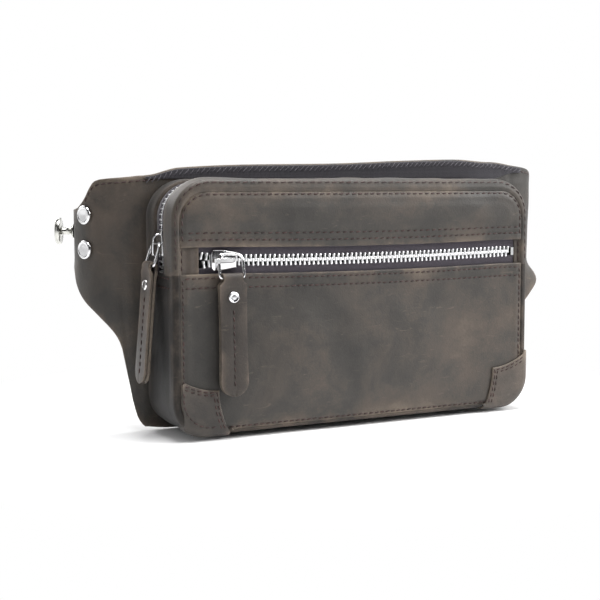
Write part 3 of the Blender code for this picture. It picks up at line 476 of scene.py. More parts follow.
class SoftField:
    """How far the pouch's leather moves from its plain shape, at any point."""

    LIMIT_OUT, LIMIT_IN, LIMIT_SIDE = 2.6, 3.0, 1.6
    PULL_ROOM = 0.82
    SIDE_ROOM = X1 - box("pocket_divider")[1].x - 0.2     # before the lining would show

    def __init__(self):
        self.tree = None
        points, moves = simulate_pouch()
        self.moves = [Vector(m) for m in moves]
        self.tree = KDTree(len(points))
        for index, point in enumerate(points):
            self.tree.insert(point, index)
        self.tree.balance()

    def inflated(self, point):
        if self.tree is None:
            return Vector()
        total, move = 0.0, Vector()
        for _, index, distance in self.tree.find_n(point, 6):
            weight = 1.0 / (distance + 1.0) ** 2
            total += weight
            move += self.moves[index] * weight
        move /= total
        limits = ((self.LIMIT_SIDE,) * 2, (self.LIMIT_OUT, self.LIMIT_IN), (self.LIMIT_SIDE,) * 2)
        return Vector(max(-low, min(high, part)) for part, (low, high) in zip(move, limits))

    def free(self, point):
        """1 where the leather is free to move, 0 beside the zips and at the back."""
        x, y, z = point
        share = smoothstep(BACK_Y - y, 1.0, 9.0)
        if y < FRONT_Y + 9:
            share *= smoothstep(z - ZIP_Z, 8.5, 20.0) + smoothstep(ZIP_Z - z, 12.0, 50.0)
            if z < ZIP_Z:       # flatter at both ends, where the pull hangs
                share *= 1.0 - self.PULL_ROOM * smoothstep(abs(x), 40.0, 78.0)
        if z > SEAM_Z - 10:
            share *= smoothstep(abs(y - MAIN_ZIP_Y), 8.5, 14.0)
        return share

    def at(self, point):
        free = self.free(point)
        move = self.inflated(point) * free
        x, y, z = point
        slow = noise.noise(Vector((x, y * 1.5, z)) * 0.021 + Vector((3.1, 0, 8.2)))
        quickly = noise.noise(Vector((x, y * 1.2, z)) * 0.06 + Vector((0, 5.3, 1.7)))
        wrinkle = (slow * 0.9 + quickly * 0.45) * (0.15 + 0.85 * free)
        if y < FRONT_Y + 6:
            move.y -= wrinkle * 0.8
        elif X0 + 4 < x < X1 - 4:
            move.z += wrinkle * (1.0 if z > ZIP_Z else -1.0)
        else:
            move.x += wrinkle * (1.0 if x > 0 else -1.0)
        move += self.side_sag(x, y, z)
        if abs(x) > X1 - 4:
            outward = math.copysign(1.0, x)
            move.x = outward * max(outward * move.x, -self.SIDE_ROOM)
        move.z -= self.chain_sag(x, y, z)
        return move

    def side_sag(self, x, y, z):
        """The unsupported gusset sinks inwards at both sides below the main zip."""
        if z > SEAM_Z or z < POUCH_BOTTOM + CORNER_BOTTOM * 0.6 or abs(x) < X1 - 3:
            return Vector()
        span = smoothstep(y, FRONT_Y + 4, FRONT_Y + 20) * smoothstep(BACK_Y - y, 1, 16)
        tall = smoothstep(SEAM_Z - z, 2, 26) * smoothstep(z, POUCH_BOTTOM + 12, 46)
        return Vector((-math.copysign(1.5, x) * span * tall, 0, 0))

    def chain_sag(self, x, y, z):
        """The front zip and its two flaps hang a little in the middle."""
        if y > FRONT_Y + 9:
            return 0.0
        across = max(0.0, 1.0 - ((x - SAG_CENTRE) / SAG_HALF) ** 2)
        return ZIP_SAG * across * (1.0 - smoothstep(abs(z - ZIP_Z), 12.0, 26.0))


def pouch_loop(inset_side, inset_far, radius, over):
    """Points (x, z, outward angle) round the pouch, over its top or under its bottom."""
    x0, x1 = X0 + inset_side, X1 - inset_side
    sign = 1 if over else -1
    far = POUCH_TOP - inset_far if over else POUCH_BOTTOM + inset_far
    centre_z = far - sign * radius
    side_steps, arc_steps, far_steps = (14, 14, 92) if over else (34, 14, 92)
    loop = [(x0, z, math.pi) for z in np.linspace(SEAM_Z, centre_z, side_steps)]
    for k in range(1, arc_steps):
        angle = math.pi - sign * math.pi / 2 * k / arc_steps
        loop.append((x0 + radius + radius * math.cos(angle),
                     centre_z + radius * math.sin(angle), angle))
    loop += [(x, far, sign * math.pi / 2) for x in np.linspace(x0 + radius, x1 - radius, far_steps)]
    for k in range(1, arc_steps):
        angle = sign * math.pi / 2 * (1 - k / arc_steps)
        loop.append((x1 - radius + radius * math.cos(angle),
                     centre_z + radius * math.sin(angle), angle))
    loop += [(x1, z, 0.0) for z in np.linspace(centre_z, SEAM_Z, side_steps)]
    return loop


SOFT = SoftField()


def own(piece, *nodes):
    """Hide the CAD nodes that a piece stands for."""
    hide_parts(*nodes)


def add_mesh(name, points, faces, look, body=None, edge_faces=(), edge_look=None, wear_and_light=None):
    """Make an object from millimetre points and let it ride on a body."""
    mesh = bpy.data.meshes.new(name)
    mesh.from_pydata([tuple(c * MM for c in p) for p in points], [], faces)
    mesh.materials.append(LOOKS[look])
    if edge_look is not None:
        mesh.materials.append(LOOKS[edge_look])
        for index in edge_faces:
            mesh.polygons[index].material_index = 1
    bm = bmesh.new()
    bm.from_mesh(mesh)
    bmesh.ops.recalc_face_normals(bm, faces=bm.faces[:])
    bm.to_mesh(mesh)
    bm.free()
    if wear_and_light is not None:
        attribute = mesh.attributes.new("wear_and_light", "FLOAT", "POINT")
        attribute.data.foreach_set("value", np.asarray(wear_and_light, np.float32))
    mesh.shade_smooth()
    mesh.set_sharp_from_angle(angle=math.radians(50))
    obj = linked(name, mesh)
    if body is not None:
        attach(obj, body)
    return obj


def unit(vectors):
    """Vectors along the last axis, made one long."""
    return vectors / np.maximum(np.linalg.norm(vectors, axis=-1, keepdims=True), 1e-9)


def grid_normals(grid):
    """Unit normals of a grid of points, from its two directions."""
    return unit(np.cross(np.gradient(grid, axis=0), np.gradient(grid, axis=1)))


def rim_indices(count_i, count_j):
    """Grid indices round the border, in order."""
    return ([(i, 0) for i in range(count_i)] + [(count_i - 1, j) for j in range(1, count_j)]
            + [(i, count_j - 1) for i in range(count_i - 2, -1, -1)]
            + [(0, j) for j in range(count_j - 2, 0, -1)])


def shell(name, grid, thickness, look, edge_look, body=None, flip=False, radius=0.35,
          worn=3.0, joined=False, rubbed_and_lit=0.0):
    """A leather sheet: a grid of outer points given thickness and rounded, raw edges.

    The grid's normals point outwards; flip turns them round. A joined sheet's first edge
    carries on in another piece, so it is neither rounded nor worn. The last argument is the least
    lightening of the leather, for the whole sheet or for each of its columns of points: wear, and on
    the gusset's front band painted light as well.
    """
    grid = np.asarray(grid, float)
    normals = grid_normals(grid) * (-1 if flip else 1)
    count_i, count_j = grid.shape[:2]
    rim = rim_indices(count_i, count_j)
    rim_points = np.array([grid[i, j] for i, j in rim])
    rim_normals = np.array([normals[i, j] for i, j in rim])
    tangents = unit(np.roll(rim_points, -1, axis=0) - np.roll(rim_points, 1, axis=0))
    outwards = unit(np.cross(tangents, rim_normals))
    centre = grid.reshape(-1, 3).mean(axis=0)
    if np.einsum("ij,ij->i", outwards, rim_points - centre).mean() < 0:
        outwards = -outwards

    top = grid.copy()
    for (i, j), out in zip(rim, outwards):
        if joined and i == 0:
            up = grid[0, -1] - grid[0, 0]
            out = up / np.linalg.norm(up) * {0: -1, count_j - 1: 1}.get(j, 0)
        top[i, j] = grid[i, j] - out * radius
    bottom = top - normals * thickness
    points = list(top.reshape(-1, 3)) + list(bottom.reshape(-1, 3))
    size = count_i * count_j
    for sink in (radius, thickness - radius):
        points += list(rim_points - rim_normals * sink)
    faces, edge_faces = [], []
    for i in range(count_i - 1):
        for j in range(count_j - 1):
            a, b = i * count_j + j, (i + 1) * count_j + j
            faces.append((a, b, b + 1, a + 1))
            faces.append((size + a, size + a + 1, size + b + 1, size + b))
    loops = [[i * count_j + j for i, j in rim],
             [2 * size + k for k in range(len(rim))],
             [2 * size + len(rim) + k for k in range(len(rim))],
             [size + i * count_j + j for i, j in rim]]
    for level, (upper, lower) in enumerate(zip(loops, loops[1:])):
        for k in range(len(rim)):
            m = (k + 1) % len(rim)
            if level == 1:
                edge_faces.append(len(faces))
            faces.append((upper[k], lower[k], lower[m], upper[m]))

    worn_and_lit_grid = np.maximum(edge_wear(grid, worn, joined), rubbed_and_lit).ravel()
    wear_and_light = np.concatenate([worn_and_lit_grid] * 2 + [np.full(2 * len(rim), 1.0)])
    return add_mesh(name, points, faces, look, body, edge_faces, edge_look, wear_and_light)


def edge_wear(grid, reach, joined):
    """How worn each grid point is: 1 at the sheet's edge, fading inwards."""
    steps_i = np.linalg.norm(np.diff(grid, axis=0), axis=2)
    steps_j = np.linalg.norm(np.diff(grid, axis=1), axis=2)
    from_i = np.concatenate([np.zeros((1, grid.shape[1])), np.cumsum(steps_i, axis=0)])
    from_j = np.concatenate([np.zeros((grid.shape[0], 1)), np.cumsum(steps_j, axis=1)], axis=1)
    first = from_i + (1000.0 if joined else 0.0)
    nearest = np.minimum(np.minimum(first, from_i[-1:] - from_i),
                         np.minimum(from_j, from_j[:, -1:] - from_j))
    return np.exp(-nearest / reach)


def prism_faces(base, rings, sides):
    """Faces of a closed prism whose points lie in rings and are numbered from base."""
    faces = []
    for r in range(rings - 1):
        for m in range(sides):
            a, b = base + r * sides + m, base + r * sides + (m + 1) % sides
            faces.append((a, b, b + sides, a + sides))
    last = base + (rings - 1) * sides
    return faces + [tuple(range(base, base + sides)), tuple(range(last, last + sides))]


def turned(name, profile, centre, axis, look, body, sides=48):
    """Turn a profile of (radius, height) points about an axis."""
    axis = Vector(axis).normalized()
    side = axis.orthogonal().normalized()
    other = axis.cross(side)
    points, faces, rings = [], [], []
    for radius, height in profile:
        count = 1 if radius == 0 else sides
        ring = []
        for k in range(count):
            t = 2 * math.pi * k / sides
            ring.append(len(points))
            points.append(Vector(centre) + axis * height
                          + (side * math.cos(t) + other * math.sin(t)) * radius)
        rings.append(ring)
    for low, high in zip(rings, rings[1:]):
        for k in range(sides):
            m = (k + 1) % sides
            corners = [low[k % len(low)], low[m % len(low)]]
            corners += [high[m % len(high)], high[k % len(high)]]
            faces.append(tuple(dict.fromkeys(corners)))
    return add_mesh(name, points, faces, look, body)


def tube(name, path, radius, look, body, sides=14):
    """A closed ring of round wire through a loop of points lying in one plane."""
    path = [Vector(p) for p in path]
    count = len(path)
    centre = sum(path, Vector()) / count
    facing = (path[0] - centre).cross(path[count // 4] - centre).normalized()
    points, faces = [], []
    for k, here in enumerate(path):
        forward = (path[(k + 1) % count] - path[k - 1]).normalized()
        out = forward.cross(facing)
        for m in range(sides):
            t = 2 * math.pi * m / sides
            points.append(here + (out * math.cos(t) + facing * math.sin(t)) * radius)
    for k in range(count):
        for m in range(sides):
            a, b = k * sides + m, k * sides + (m + 1) % sides
            c, d = ((k + 1) % count) * sides + (m + 1) % sides, ((k + 1) % count) * sides + m
            faces.append((a, b, c, d))
    return add_mesh(name, points, faces, look, body)


STITCH_SHARE = (0.0, 0.14, 0.5, 0.86, 1.0)
STITCH_RISE = (-0.14, 0.16, 0.28, 0.16, -0.14)
STITCH_WIDTH = (0.26, 0.40, 0.42, 0.40, 0.26)


def stitches(name, path, normals, look, body=None, pitch=4.2, length=3.0, slant=0.12):
    """A row of thread stitches along a path lying on leather."""
    path = np.asarray([tuple(p) for p in path], float)
    normals = np.asarray([tuple(n) for n in normals], float)
    if len(normals) == 1:
        normals = np.repeat(normals, len(path), axis=0)
    reach = np.concatenate([[0], np.cumsum(np.linalg.norm(np.diff(path, axis=0), axis=1))])

    def sample(values, at):
        return np.array([np.interp(at, reach, values[:, c]) for c in range(3)])

    count = max(int(reach[-1] / pitch), 1)
    pitch = reach[-1] / count
    sides = 6
    points, faces = [], []
    for k in range(count):
        start = k * pitch + (pitch - length) / 2 + random.uniform(-0.12, 0.12)
        base = len(points)
        for share, rise, width in zip(STITCH_SHARE, STITCH_RISE, STITCH_WIDTH):
            at = start + share * length
            middle, up = sample(path, at), unit(sample(normals, at))
            across = np.cross(up, unit(sample(path, at + 0.3) - sample(path, at - 0.3)))
            middle = middle + up * rise + across * (share - 0.5) * slant * length
            for m in range(sides):
                t = 2 * math.pi * m / sides
                points.append(middle + (across * math.cos(t) + up * math.sin(t)) * width)
        faces += prism_faces(base, len(STITCH_SHARE), sides)
    return add_mesh(name, points, faces, look, body)


def groove(distance, depth=0.32, width=0.9):
    """How far thread pulls the leather down at a distance from the seam."""
    return depth * math.exp(-(distance / width) ** 2)


# ---- pouch ----
def front_height(x, z):
    """How far the front's outer face stands proud of the plain front, at a point."""
    inside = panel_distance(x, z)
    if inside > 0:
        proud = PANEL_PROUD if z > ZIP_Z else POCKET_PROUD
        rise = proud - 1.3 * (1.0 - smoothstep(inside, 0.0, 1.4))
        rise += 0.25 * math.exp(-((inside - 4.0) / 2.0) ** 2)
        rise -= groove(inside - STITCH_IN)
        if z > WINDOW_HIGH - 4:
            rise -= sum(groove(z - line, 0.22) for line in BAND_STITCH_Z)
            rise += 0.9 * smoothstep(z, 123, 129) * smoothstep(inside, 1.5, 11)
        else:
            rise -= sum(groove(z - line, 0.20) for line in POCKET_STITCH_Z)
        return rise
    rim = rounded_distance(x, z, X0, X1, POUCH_BOTTOM, POUCH_TOP, CORNER_BOTTOM, CORNER_TOP)
    if rim < EDGE_R:
        rim = max(rim, 0.0)
        return math.sqrt(max(EDGE_R ** 2 - (EDGE_R - rim) ** 2, 0.0)) - EDGE_R
    return 0.4 * math.sin(math.pi * rim / (rim - inside))


def softened(x, y, z):
    """A place on the pouch once its leather has settled."""
    point = Vector((x, y, z))
    return point + SOFT.at(point)


def on_front(x, z):
    """Point of the softened front face."""
    return softened(x, FRONT_Y - front_height(x, z), z)


# columns of the front panels: shares from -1 to 1, closer together at the sides
FRONT_COLUMNS = [math.sin(math.pi / 2 * t) * 0.35 + t * 0.65 for t in np.linspace(-1, 1, 104)]


def front_piece(name, low, high, corner_r, round_top, *nodes):
    """A front panel between two heights; one end follows the rounded panel outline."""
    half = X1 - INSET_SIDE
    grid = []
    for share in FRONT_COLUMNS:
        x = half * share
        over = max(abs(x) - (half - corner_r), 0.0)
        curve = corner_r - math.sqrt(max(corner_r ** 2 - over ** 2, 0.0))
        z0, z1 = (low, high - curve) if round_top else (low + curve, high)
        grid.append([on_front(x, z) for z in np.linspace(z0, z1, int(high - low))])
    own(shell(name, grid, LEATHER, "face", "edge", "pack"), *nodes)


def build_front():
    front_piece("front_top_leather", WINDOW_HIGH, POUCH_TOP - INSET_TOP, PANEL_R_TOP, True,
                "front_top_panel", "upper_flap_band")
    front_piece("front_pocket_leather", POUCH_BOTTOM + INSET_BOTTOM, WINDOW_LOW, PANEL_R_BOTTOM,
                False, "front_pocket_panel")
    half = X1 - INSET_SIDE - 0.3
    for name, x0, x1 in (("left", -half, WINDOW_X0), ("right", WINDOW_X1, half)):
        grid = []
        for x in np.linspace(x0, x1, 14):
            y = FRONT_Y + END_CAP_IN - 0.175 * math.sin((x - x0) * 1.1)
            grid.append([softened(x, y, z)
                         for z in np.linspace(WINDOW_LOW - 3, WINDOW_HIGH + 3, 24)])
        cap = shell("zip_end_leather_" + name, grid, END_CAP_T, "pull", "edge", "pack")
        own(cap, "zip_end_cap_" + name)
    sew_front()


def sew_front():
    """Every row of thread on the front face and the gusset's sides."""
    def row(name, line, normal=(0, -1, 0), **options):
        stitches(name, [on_front(x, z) for x, z in line], [normal], "thread", "pack", **options)

    def around(inset_side, inset_far, radius, over):
        return [(x, z) for x, z, _ in pouch_loop(inset_side, inset_far, radius, over)]

    half = X1 - INSET_SIDE - STITCH_IN
    over = around(INSET_SIDE + STITCH_IN, INSET_TOP + STITCH_IN, PANEL_R_TOP - STITCH_IN, True)
    row("stitches_top_panel", [p for p in over if p[1] >= WINDOW_HIGH + 1.5], pitch=4.4)
    under = around(INSET_SIDE + STITCH_IN, INSET_BOTTOM + STITCH_IN, PANEL_R_BOTTOM - STITCH_IN,
                   False)
    row("stitches_pocket", [p for p in under if p[1] <= WINDOW_LOW - 1.5], pitch=4.0)
    rim = around(BORDER_STITCH_IN, BORDER_STITCH_IN, CORNER_TOP - BORDER_STITCH_IN, True)
    row("stitches_border", [p for p in rim if p[1] > WINDOW_LOW + 2], (0, -0.85, 0.5), pitch=5.0,
        length=3.4)
    for label, side in (("left", -1), ("right", 1)):
        points = [Vector((side * half, FRONT_Y + END_CAP_IN - 0.15, z))
                  + SOFT.at(Vector((side * half, FRONT_Y, z)))
                  for z in np.linspace(WINDOW_LOW + 1, WINDOW_HIGH - 1, 12)]
        stitches("stitches_end_cap_" + label, points, [(0, -1, 0)], "thread", "pack", pitch=4.0)
        for index, z in enumerate(POCKET_STITCH_Z):
            points = [softened(side * X1, y, z) + Vector((side * 0.3, 0, 0))
                      for y in np.linspace(FRONT_Y + 5, BACK_Y - 3, 40)]
            stitches("stitches_gusset_%s_%d" % (label, index + 1), points, [(side, 0, 0)],
                     "thread", "pack", pitch=4.0)
    for index, z in enumerate(BAND_STITCH_Z):
        row("stitches_band_%d" % (index + 1),
            [(x, z) for x in np.linspace(-half + 3, half - 1, 110)], pitch=4.6 - 0.3 * index)
    for index, z in enumerate(POCKET_STITCH_Z):
        row("stitches_pocket_top_%d" % (index + 1),
            [(x, z) for x in np.linspace(-half + 1, half - 1, 110)], pitch=4.0)


GUSSET_T = 1.5
EDGE_ROLL = 1.8                 # depth over which an edge rolls in beside the main zip
BORDER_WEAR_AND_LIGHT = 0.95            # wear and painted light where the gusset turns over the front edge, lighter than the painted shade of its sides
BORDER_W = 6.0                  # usual width of the border, for its rounded edge


def border_section(y_start, roll):
    """Section of a gusset strip: (share towards the panel, outward offset, y)."""
    section = []
    if roll:
        section += [(0.0, -1.5, y_start), (0.0, -0.7, y_start - 0.15), (0.0, -0.1, y_start - 0.9)]
    first = y_start - (EDGE_ROLL if roll else 0.0)
    last = FRONT_Y + EDGE_R
    for t in np.linspace(0, 1, max(int(abs(first - last) / 1.6), 4)):
        section.append((0.0, 0.5 * math.sin(math.pi * t), first + (last - first) * t))
    for turn in np.linspace(0, math.pi / 2, 6)[1:]:
        section.append((EDGE_R * (1 - math.cos(turn)) / BORDER_W, 0.0,
                        last - EDGE_R * math.sin(turn)))
    start = EDGE_R / BORDER_W
    for t in np.linspace(0.2, 1.0, 5):
        section.append((start + (1 - start) * t, 0.0, FRONT_Y - 0.4 * math.sin(math.pi * t)))
    return section + [(1.06, 0.0, FRONT_Y + 0.7), (1.3, 0.0, FRONT_Y + 1.6)]


def gusset_grid(outer, inner, section):
    """Sweep a section round the pouch; its shares run from the outer to the inner loop."""
    grid = []
    for (ox, oz, angle), (ix, iz, _) in zip(outer, inner):
        grid.append([softened(ox + (ix - ox) * share + math.cos(angle) * bulge, y,
                              oz + (iz - oz) * share + math.sin(angle) * bulge)
                     for share, bulge, y in section])
    return grid


def build_gusset():
    """Sides, bottom and top of the pouch, turned over its front edge."""
    outer = pouch_loop(0, 0, CORNER_TOP, True)
    inner = pouch_loop(INSET_SIDE, INSET_TOP, PANEL_R_TOP, True)
    strip = gusset_grid(outer, inner, border_section(MAIN_FRONT_EDGE, True))
    piece = shell("gusset_leather_top_front", strip, GUSSET_T, "face", "edge", "pack", flip=True,
                  worn=5.0)
    own(piece, "gusset_top_front")

    section = [(0.0, -1.5, MAIN_REAR_EDGE), (0.0, -0.7, MAIN_REAR_EDGE + 0.15),
               (0.0, -0.1, MAIN_REAR_EDGE + 0.9)]
    flat_from = MAIN_REAR_EDGE + EDGE_ROLL
    section += [(0.0, 0.5 * math.sin(math.pi * t), flat_from + (BACK_Y - flat_from) * t)
                for t in np.linspace(0, 1, 9)]
    # The rear strip and the body take the side leather, whose darker tone is painted shade.
    piece = shell("gusset_leather_top_rear", gusset_grid(outer, outer, section), GUSSET_T,
                  "side", "edge", "pack", worn=5.0)
    own(piece, "gusset_top_rear")

    outer = pouch_loop(0, 0, CORNER_BOTTOM, False)
    inner = pouch_loop(INSET_SIDE, INSET_BOTTOM, PANEL_R_BOTTOM, False)
    section = border_section(BACK_Y, False)
    # The front band is lighter where the gusset turns over the edge: wear, and painted light against the side
    # leather's painted shade.
    rubbed_and_lit = [BORDER_WEAR_AND_LIGHT * smoothstep(FRONT_Y + 11.0 - y, 0.0, 9.0) for _, _, y in section]
    piece = shell("gusset_leather_body", gusset_grid(outer, inner, section), GUSSET_T, "side",
                  "edge", "pack", worn=4.0, rubbed_and_lit=rubbed_and_lit)
    own(piece, "gusset_body")


# ---- corner patches ----
PATCH_SIDE_HIGH, PATCH_INNER_HIGH = 37.0, 27.0
PATCH_INNER_X, PATCH_FOOT_X = 28.0, 35.0
PATCH_PROUD = PATCH_T + 0.15    # its outer face in front of the pouch's
PATCH_WRAP = 9.0                # how far a patch runs back along the gusset
PATCH_TUCK = INSET_SIDE + 0.8   # where the left patch goes under the border
PATCH_SEAMS = (2.0, 4.4)        # rows of thread, in from its inner edge


def patch_rim(steps=60):
    """Pairs for one corner: point on the pouch's edge with its outward angle, inner point.

    Coordinates are distances in from the pouch's side and up from its bottom.
    """
    run_foot = PATCH_FOOT_X - CORNER_BOTTOM
    run_side = PATCH_SIDE_HIGH - CORNER_BOTTOM
    arc = CORNER_BOTTOM * math.pi / 2
    total = run_foot + arc + run_side
    for k in range(steps + 1):
        share = k / steps
        reach = share * total
        if reach < run_foot:
            rim = (PATCH_FOOT_X - reach, 0.0, -math.pi / 2)
        elif reach < run_foot + arc:
            turn = (reach - run_foot) / CORNER_BOTTOM
            rim = (CORNER_BOTTOM * (1 - math.sin(turn)), CORNER_BOTTOM * (1 - math.cos(turn)),
                   turn - math.pi / 2)
        else:
            rim = (0.0, CORNER_BOTTOM + reach - run_foot - arc, 0.0)
        if share < 0.5:
            t = 1 - share * 2
            inner = (PATCH_INNER_X + (PATCH_FOOT_X - PATCH_INNER_X) * t ** 2,
                     PATCH_INNER_HIGH * (1 - t))
        else:
            t = 2 - share * 2
            inner = (PATCH_INNER_X * t,
                     PATCH_SIDE_HIGH + (PATCH_INNER_HIGH - PATCH_SIDE_HIGH) * (1 - (1 - t) ** 2))
        yield rim, inner


def build_corner_patch(name, side):
    """Patch on a lower corner, turned round the pouch's edge.

    The left one is tucked under the border along the pouch's side and sewn through there.
    """
    def place(spot, y):
        return softened(side * (X1 - spot.x), y, POUCH_BOTTOM + spot.y)

    grid, seams, rim_seam = [], ([], []), []
    for (rx, rz, angle), (ix, iz) in patch_rim():
        edge, inner = Vector((rx, rz)), Vector((ix, iz))
        turned_under = 1.0 if side > 0 else smoothstep(-angle, 0.35, 1.0)
        face_end = PATCH_TUCK + (EDGE_R - PATCH_TUCK) * turned_under
        inwards = inner - edge
        if turned_under == 0 and inwards.length < PATCH_TUCK + 1.8:
            break
        span = max(inwards.length, face_end + 0.8)
        if inwards.length < 1.0:
            inwards = Vector((math.cos(angle), -math.sin(angle)))
        step = inwards.normalized()
        out = Vector((-math.cos(angle), math.sin(angle)))

        def face_point(inset, extra):
            return place(edge + step * inset, FRONT_Y - extra)

        column = [face_point(span * t, PATCH_PROUD + 0.35 * math.sin(math.pi * t))
                  for t in np.linspace(1.0, face_end / span, 16)]
        under = []
        around = EDGE_R + PATCH_PROUD
        for bend in np.linspace(math.pi / 8, math.pi / 2, 4):
            under.append(place(edge - out * (EDGE_R - around * math.sin(bend)),
                               FRONT_Y + EDGE_R - around * math.cos(bend)))
        for t in np.linspace(0.2, 1.0, 5):
            under.append(place(edge + out * PATCH_PROUD, FRONT_Y + EDGE_R + PATCH_WRAP * t))
        for k, below in enumerate(under):
            share = (k + 1) / len(under)
            sink = (PATCH_PROUD + 1.5) * share ** 1.3
            tucked = face_point(PATCH_TUCK - 1.6 * share, PATCH_PROUD - sink)
            column.append(tucked.lerp(below, turned_under))
        grid.append(column)
        for row, inset in zip(seams, PATCH_SEAMS):
            if span - inset > face_end + 0.5:
                row.append(face_point(span - inset, PATCH_PROUD + 0.12))
        if side < 0 and span > INSET_SIDE + STITCH_IN + 6.5:
            rim_seam.append(face_point(INSET_SIDE + STITCH_IN, PATCH_PROUD + 0.25))
    piece = shell(name + "_leather", grid, PATCH_T, "patch", "edge", "pack", flip=side > 0,
                  worn=4.0)
    own(piece, name)
    for index, row in enumerate((*seams, rim_seam) if rim_seam else seams):
        stitches("%s_stitches_%d" % (name, index + 1), row, [(0, -1, 0)], "thread", "pack",
                 pitch=3.9, length=2.8)


# ---- zips ----
TOOTH_CORNER = 0.28
# sections of a tooth: (distance from the centre line, half length, half thickness)
TOOTH_SECTIONS = ((3.5, 0.55, 0.95), (3.0, 0.66, 1.25), (1.0, 0.50, 1.25), (0.1, 0.60, 1.2),
                  (-0.75, 0.72, 1.1), (-1.0, 0.50, 0.8))


class FrontChain:
    """Place along the front zip: u to the right, v up from the centre line, n outwards."""

    def __init__(self):
        self.start, self.end = TEETH_X0, TEETH_X1
        self.slider = SLIDER_X

    def __call__(self, u, v, n):
        return Vector((u, ZIP_Y - n, ZIP_Z + v)) + SOFT.at(Vector((u, ZIP_Y, ZIP_Z)))


class MainChain:
    """Place along the main zip: u up the left side and over, v to the rear, n outwards."""

    def __init__(self):
        self.loop = np.array(pouch_loop(ZIP_DEPTH, ZIP_DEPTH, CORNER_TOP - ZIP_DEPTH, True))
        steps = np.linalg.norm(np.diff(self.loop[:, :2], axis=0), axis=1)
        self.reach = np.concatenate([[0], np.cumsum(steps)])
        self.start, self.end = 0.3, self.reach[-1] - 0.3
        self.slider = (MAIN_SLIDER[0].z + MAIN_SLIDER[1].z) / 2 - SEAM_Z

    def __call__(self, u, v, n):
        x, z, angle = (np.interp(u, self.reach, self.loop[:, c]) for c in range(3))
        x += math.cos(angle) * n
        z += math.sin(angle) * n
        return Vector((x, MAIN_ZIP_Y + v, z))


def opening(chain, u):
    """How far each row of teeth has parted at a place below the slider."""
    return 0.17 * max(chain.slider - 4.0 - u, 0.0)


def build_teeth(name, chain, side):
    """One row of separate teeth, each a waisted block with rounded edges."""
    points, faces = [], []
    u = chain.start + (0.8 if side > 0 else 0.8 + TOOTH_PITCH / 2)
    while u < chain.end - 0.8:
        parted = opening(chain, u)
        base = len(points)
        for v, half_u, half_n in TOOTH_SECTIONS:
            corner = TOOTH_CORNER
            lean = parted * 0.12 * (3.5 - v)
            for du, dn in ((half_u, half_n - corner), (half_u - corner, half_n),
                           (corner - half_u, half_n), (-half_u, half_n - corner),
                           (-half_u, corner - half_n), (corner - half_u, -half_n),
                           (half_u - corner, -half_n), (half_u, corner - half_n)):
                points.append(chain(u + du - lean, side * (v + parted), dn))
        faces += prism_faces(base, len(TOOTH_SECTIONS), 8)
        u += TOOTH_PITCH
    own(add_mesh(name + "_metal", points, faces, "nickel", "pack"), name)


def build_tape(name, chain, side, ends, width):
    """Woven tape with a raised cord along its inner edge."""
    rows = [2.5, 2.8, 3.2, 3.6, 3.9] + list(np.linspace(4.6, CHAIN_HALF + width, 7))
    grid = []
    for u in np.linspace(chain.start - ends, chain.end + ends, 150):
        parted = opening(chain, u)
        column = []
        for v in rows:
            cord = 0.55 * math.exp(-((v - 3.2) / 0.35) ** 2)
            share = max(0.0, 1.0 - (v - 3.2) / 8.0)
            column.append(chain(u, side * (v + parted * share), TAPE_T / 2 + cord))
        grid.append(column)
    flip = (side > 0) == isinstance(chain, MainChain)
    piece = shell(name + "_cloth", grid, TAPE_T, "tape", "tape", "pack", flip=flip,
                  radius=0.1)
    own(piece, name)


def build_zips():
    for zipper, chain, sides, ends, width in (
            ("front", FrontChain(), (("upper", 1), ("lower", -1)), 5.5, TAPE_W),
            ("main", MainChain(), (("front", -1), ("rear", 1)), 0.0, MAIN_TAPE_W)):
        for label, side in sides:
            build_teeth("%s_zip_teeth_%s" % (zipper, label), chain, side)
            build_tape("%s_zip_tape_%s" % (zipper, label), chain, side, ends, width)


# ---- sliders, rings and leather pulls ----
RING_HALF_W, RING_WIRE_R = 7.75, 1.0
RING_TOP_R, RING_BOTTOM_R = 4.5, 2.0
PULL_HALF_W, PULL_NECK_HALF_W = 9.0, 6.4
PULL_NECK_END, PULL_FULL_FROM, PULL_CLOSED_FROM = 1.7, 4.5, 9.0
PULL_LEN, PULL_T = 71.5, 1.7
PULL_RIVET_DOWN = 11.5
# profiles of (radius, height) above the pull's two faces
PULL_RIVET_HEAD = ((0, 0.95), (1.2, 0.92), (2.1, 0.86), (2.4, 0.95), (2.7, 1.1), (3.0, 1.0),
                   (3.3, 0.7), (3.5, 0.2), (3.45, -0.12), (3.1, -0.3), (1.3, -0.3))
PULL_RIVET_BACK = ((1.3, 0.5), (2.4, 0.4), (2.9, 0.1), (2.8, -0.3), (2.0, -0.6), (0, -0.7))
PULL_TILT = {"front": math.radians(1.5), "main": math.radians(5.0)}
# slider: half width of its plates along the chain, and the ring's bridge as (along, out)
SLIDER_OUTLINE = ((-8.0, 4.9), (-6.5, 6.4), (-1.0, 6.3), (4.5, 5.4), (8.0, 4.9))
SLIDER_PLATE_OUT, SLIDER_PLATE_T, BRIDGE_T = 2.75, 1.25, 1.0
POST_OUTLINE = ((4.6, 0.0), (5.2, 0.32), (7.4, 0.32), (7.4, -0.32), (5.2, -0.32))
POST_HALF_N = 1.7
BRIDGE_HALF_V = 1.5
BRIDGE_PATH = ((-8.0, 2.5), (-8.05, 4.2), (-7.9, 5.6), (-7.3, 6.7), (-6.2, 7.3), (-4.5, 7.5),
               (-1.5, 7.5), (1.5, 7.4), (3.4, 7.1), (4.9, 6.3), (5.9, 5.2), (6.4, 3.9),
               (6.6, 2.5))


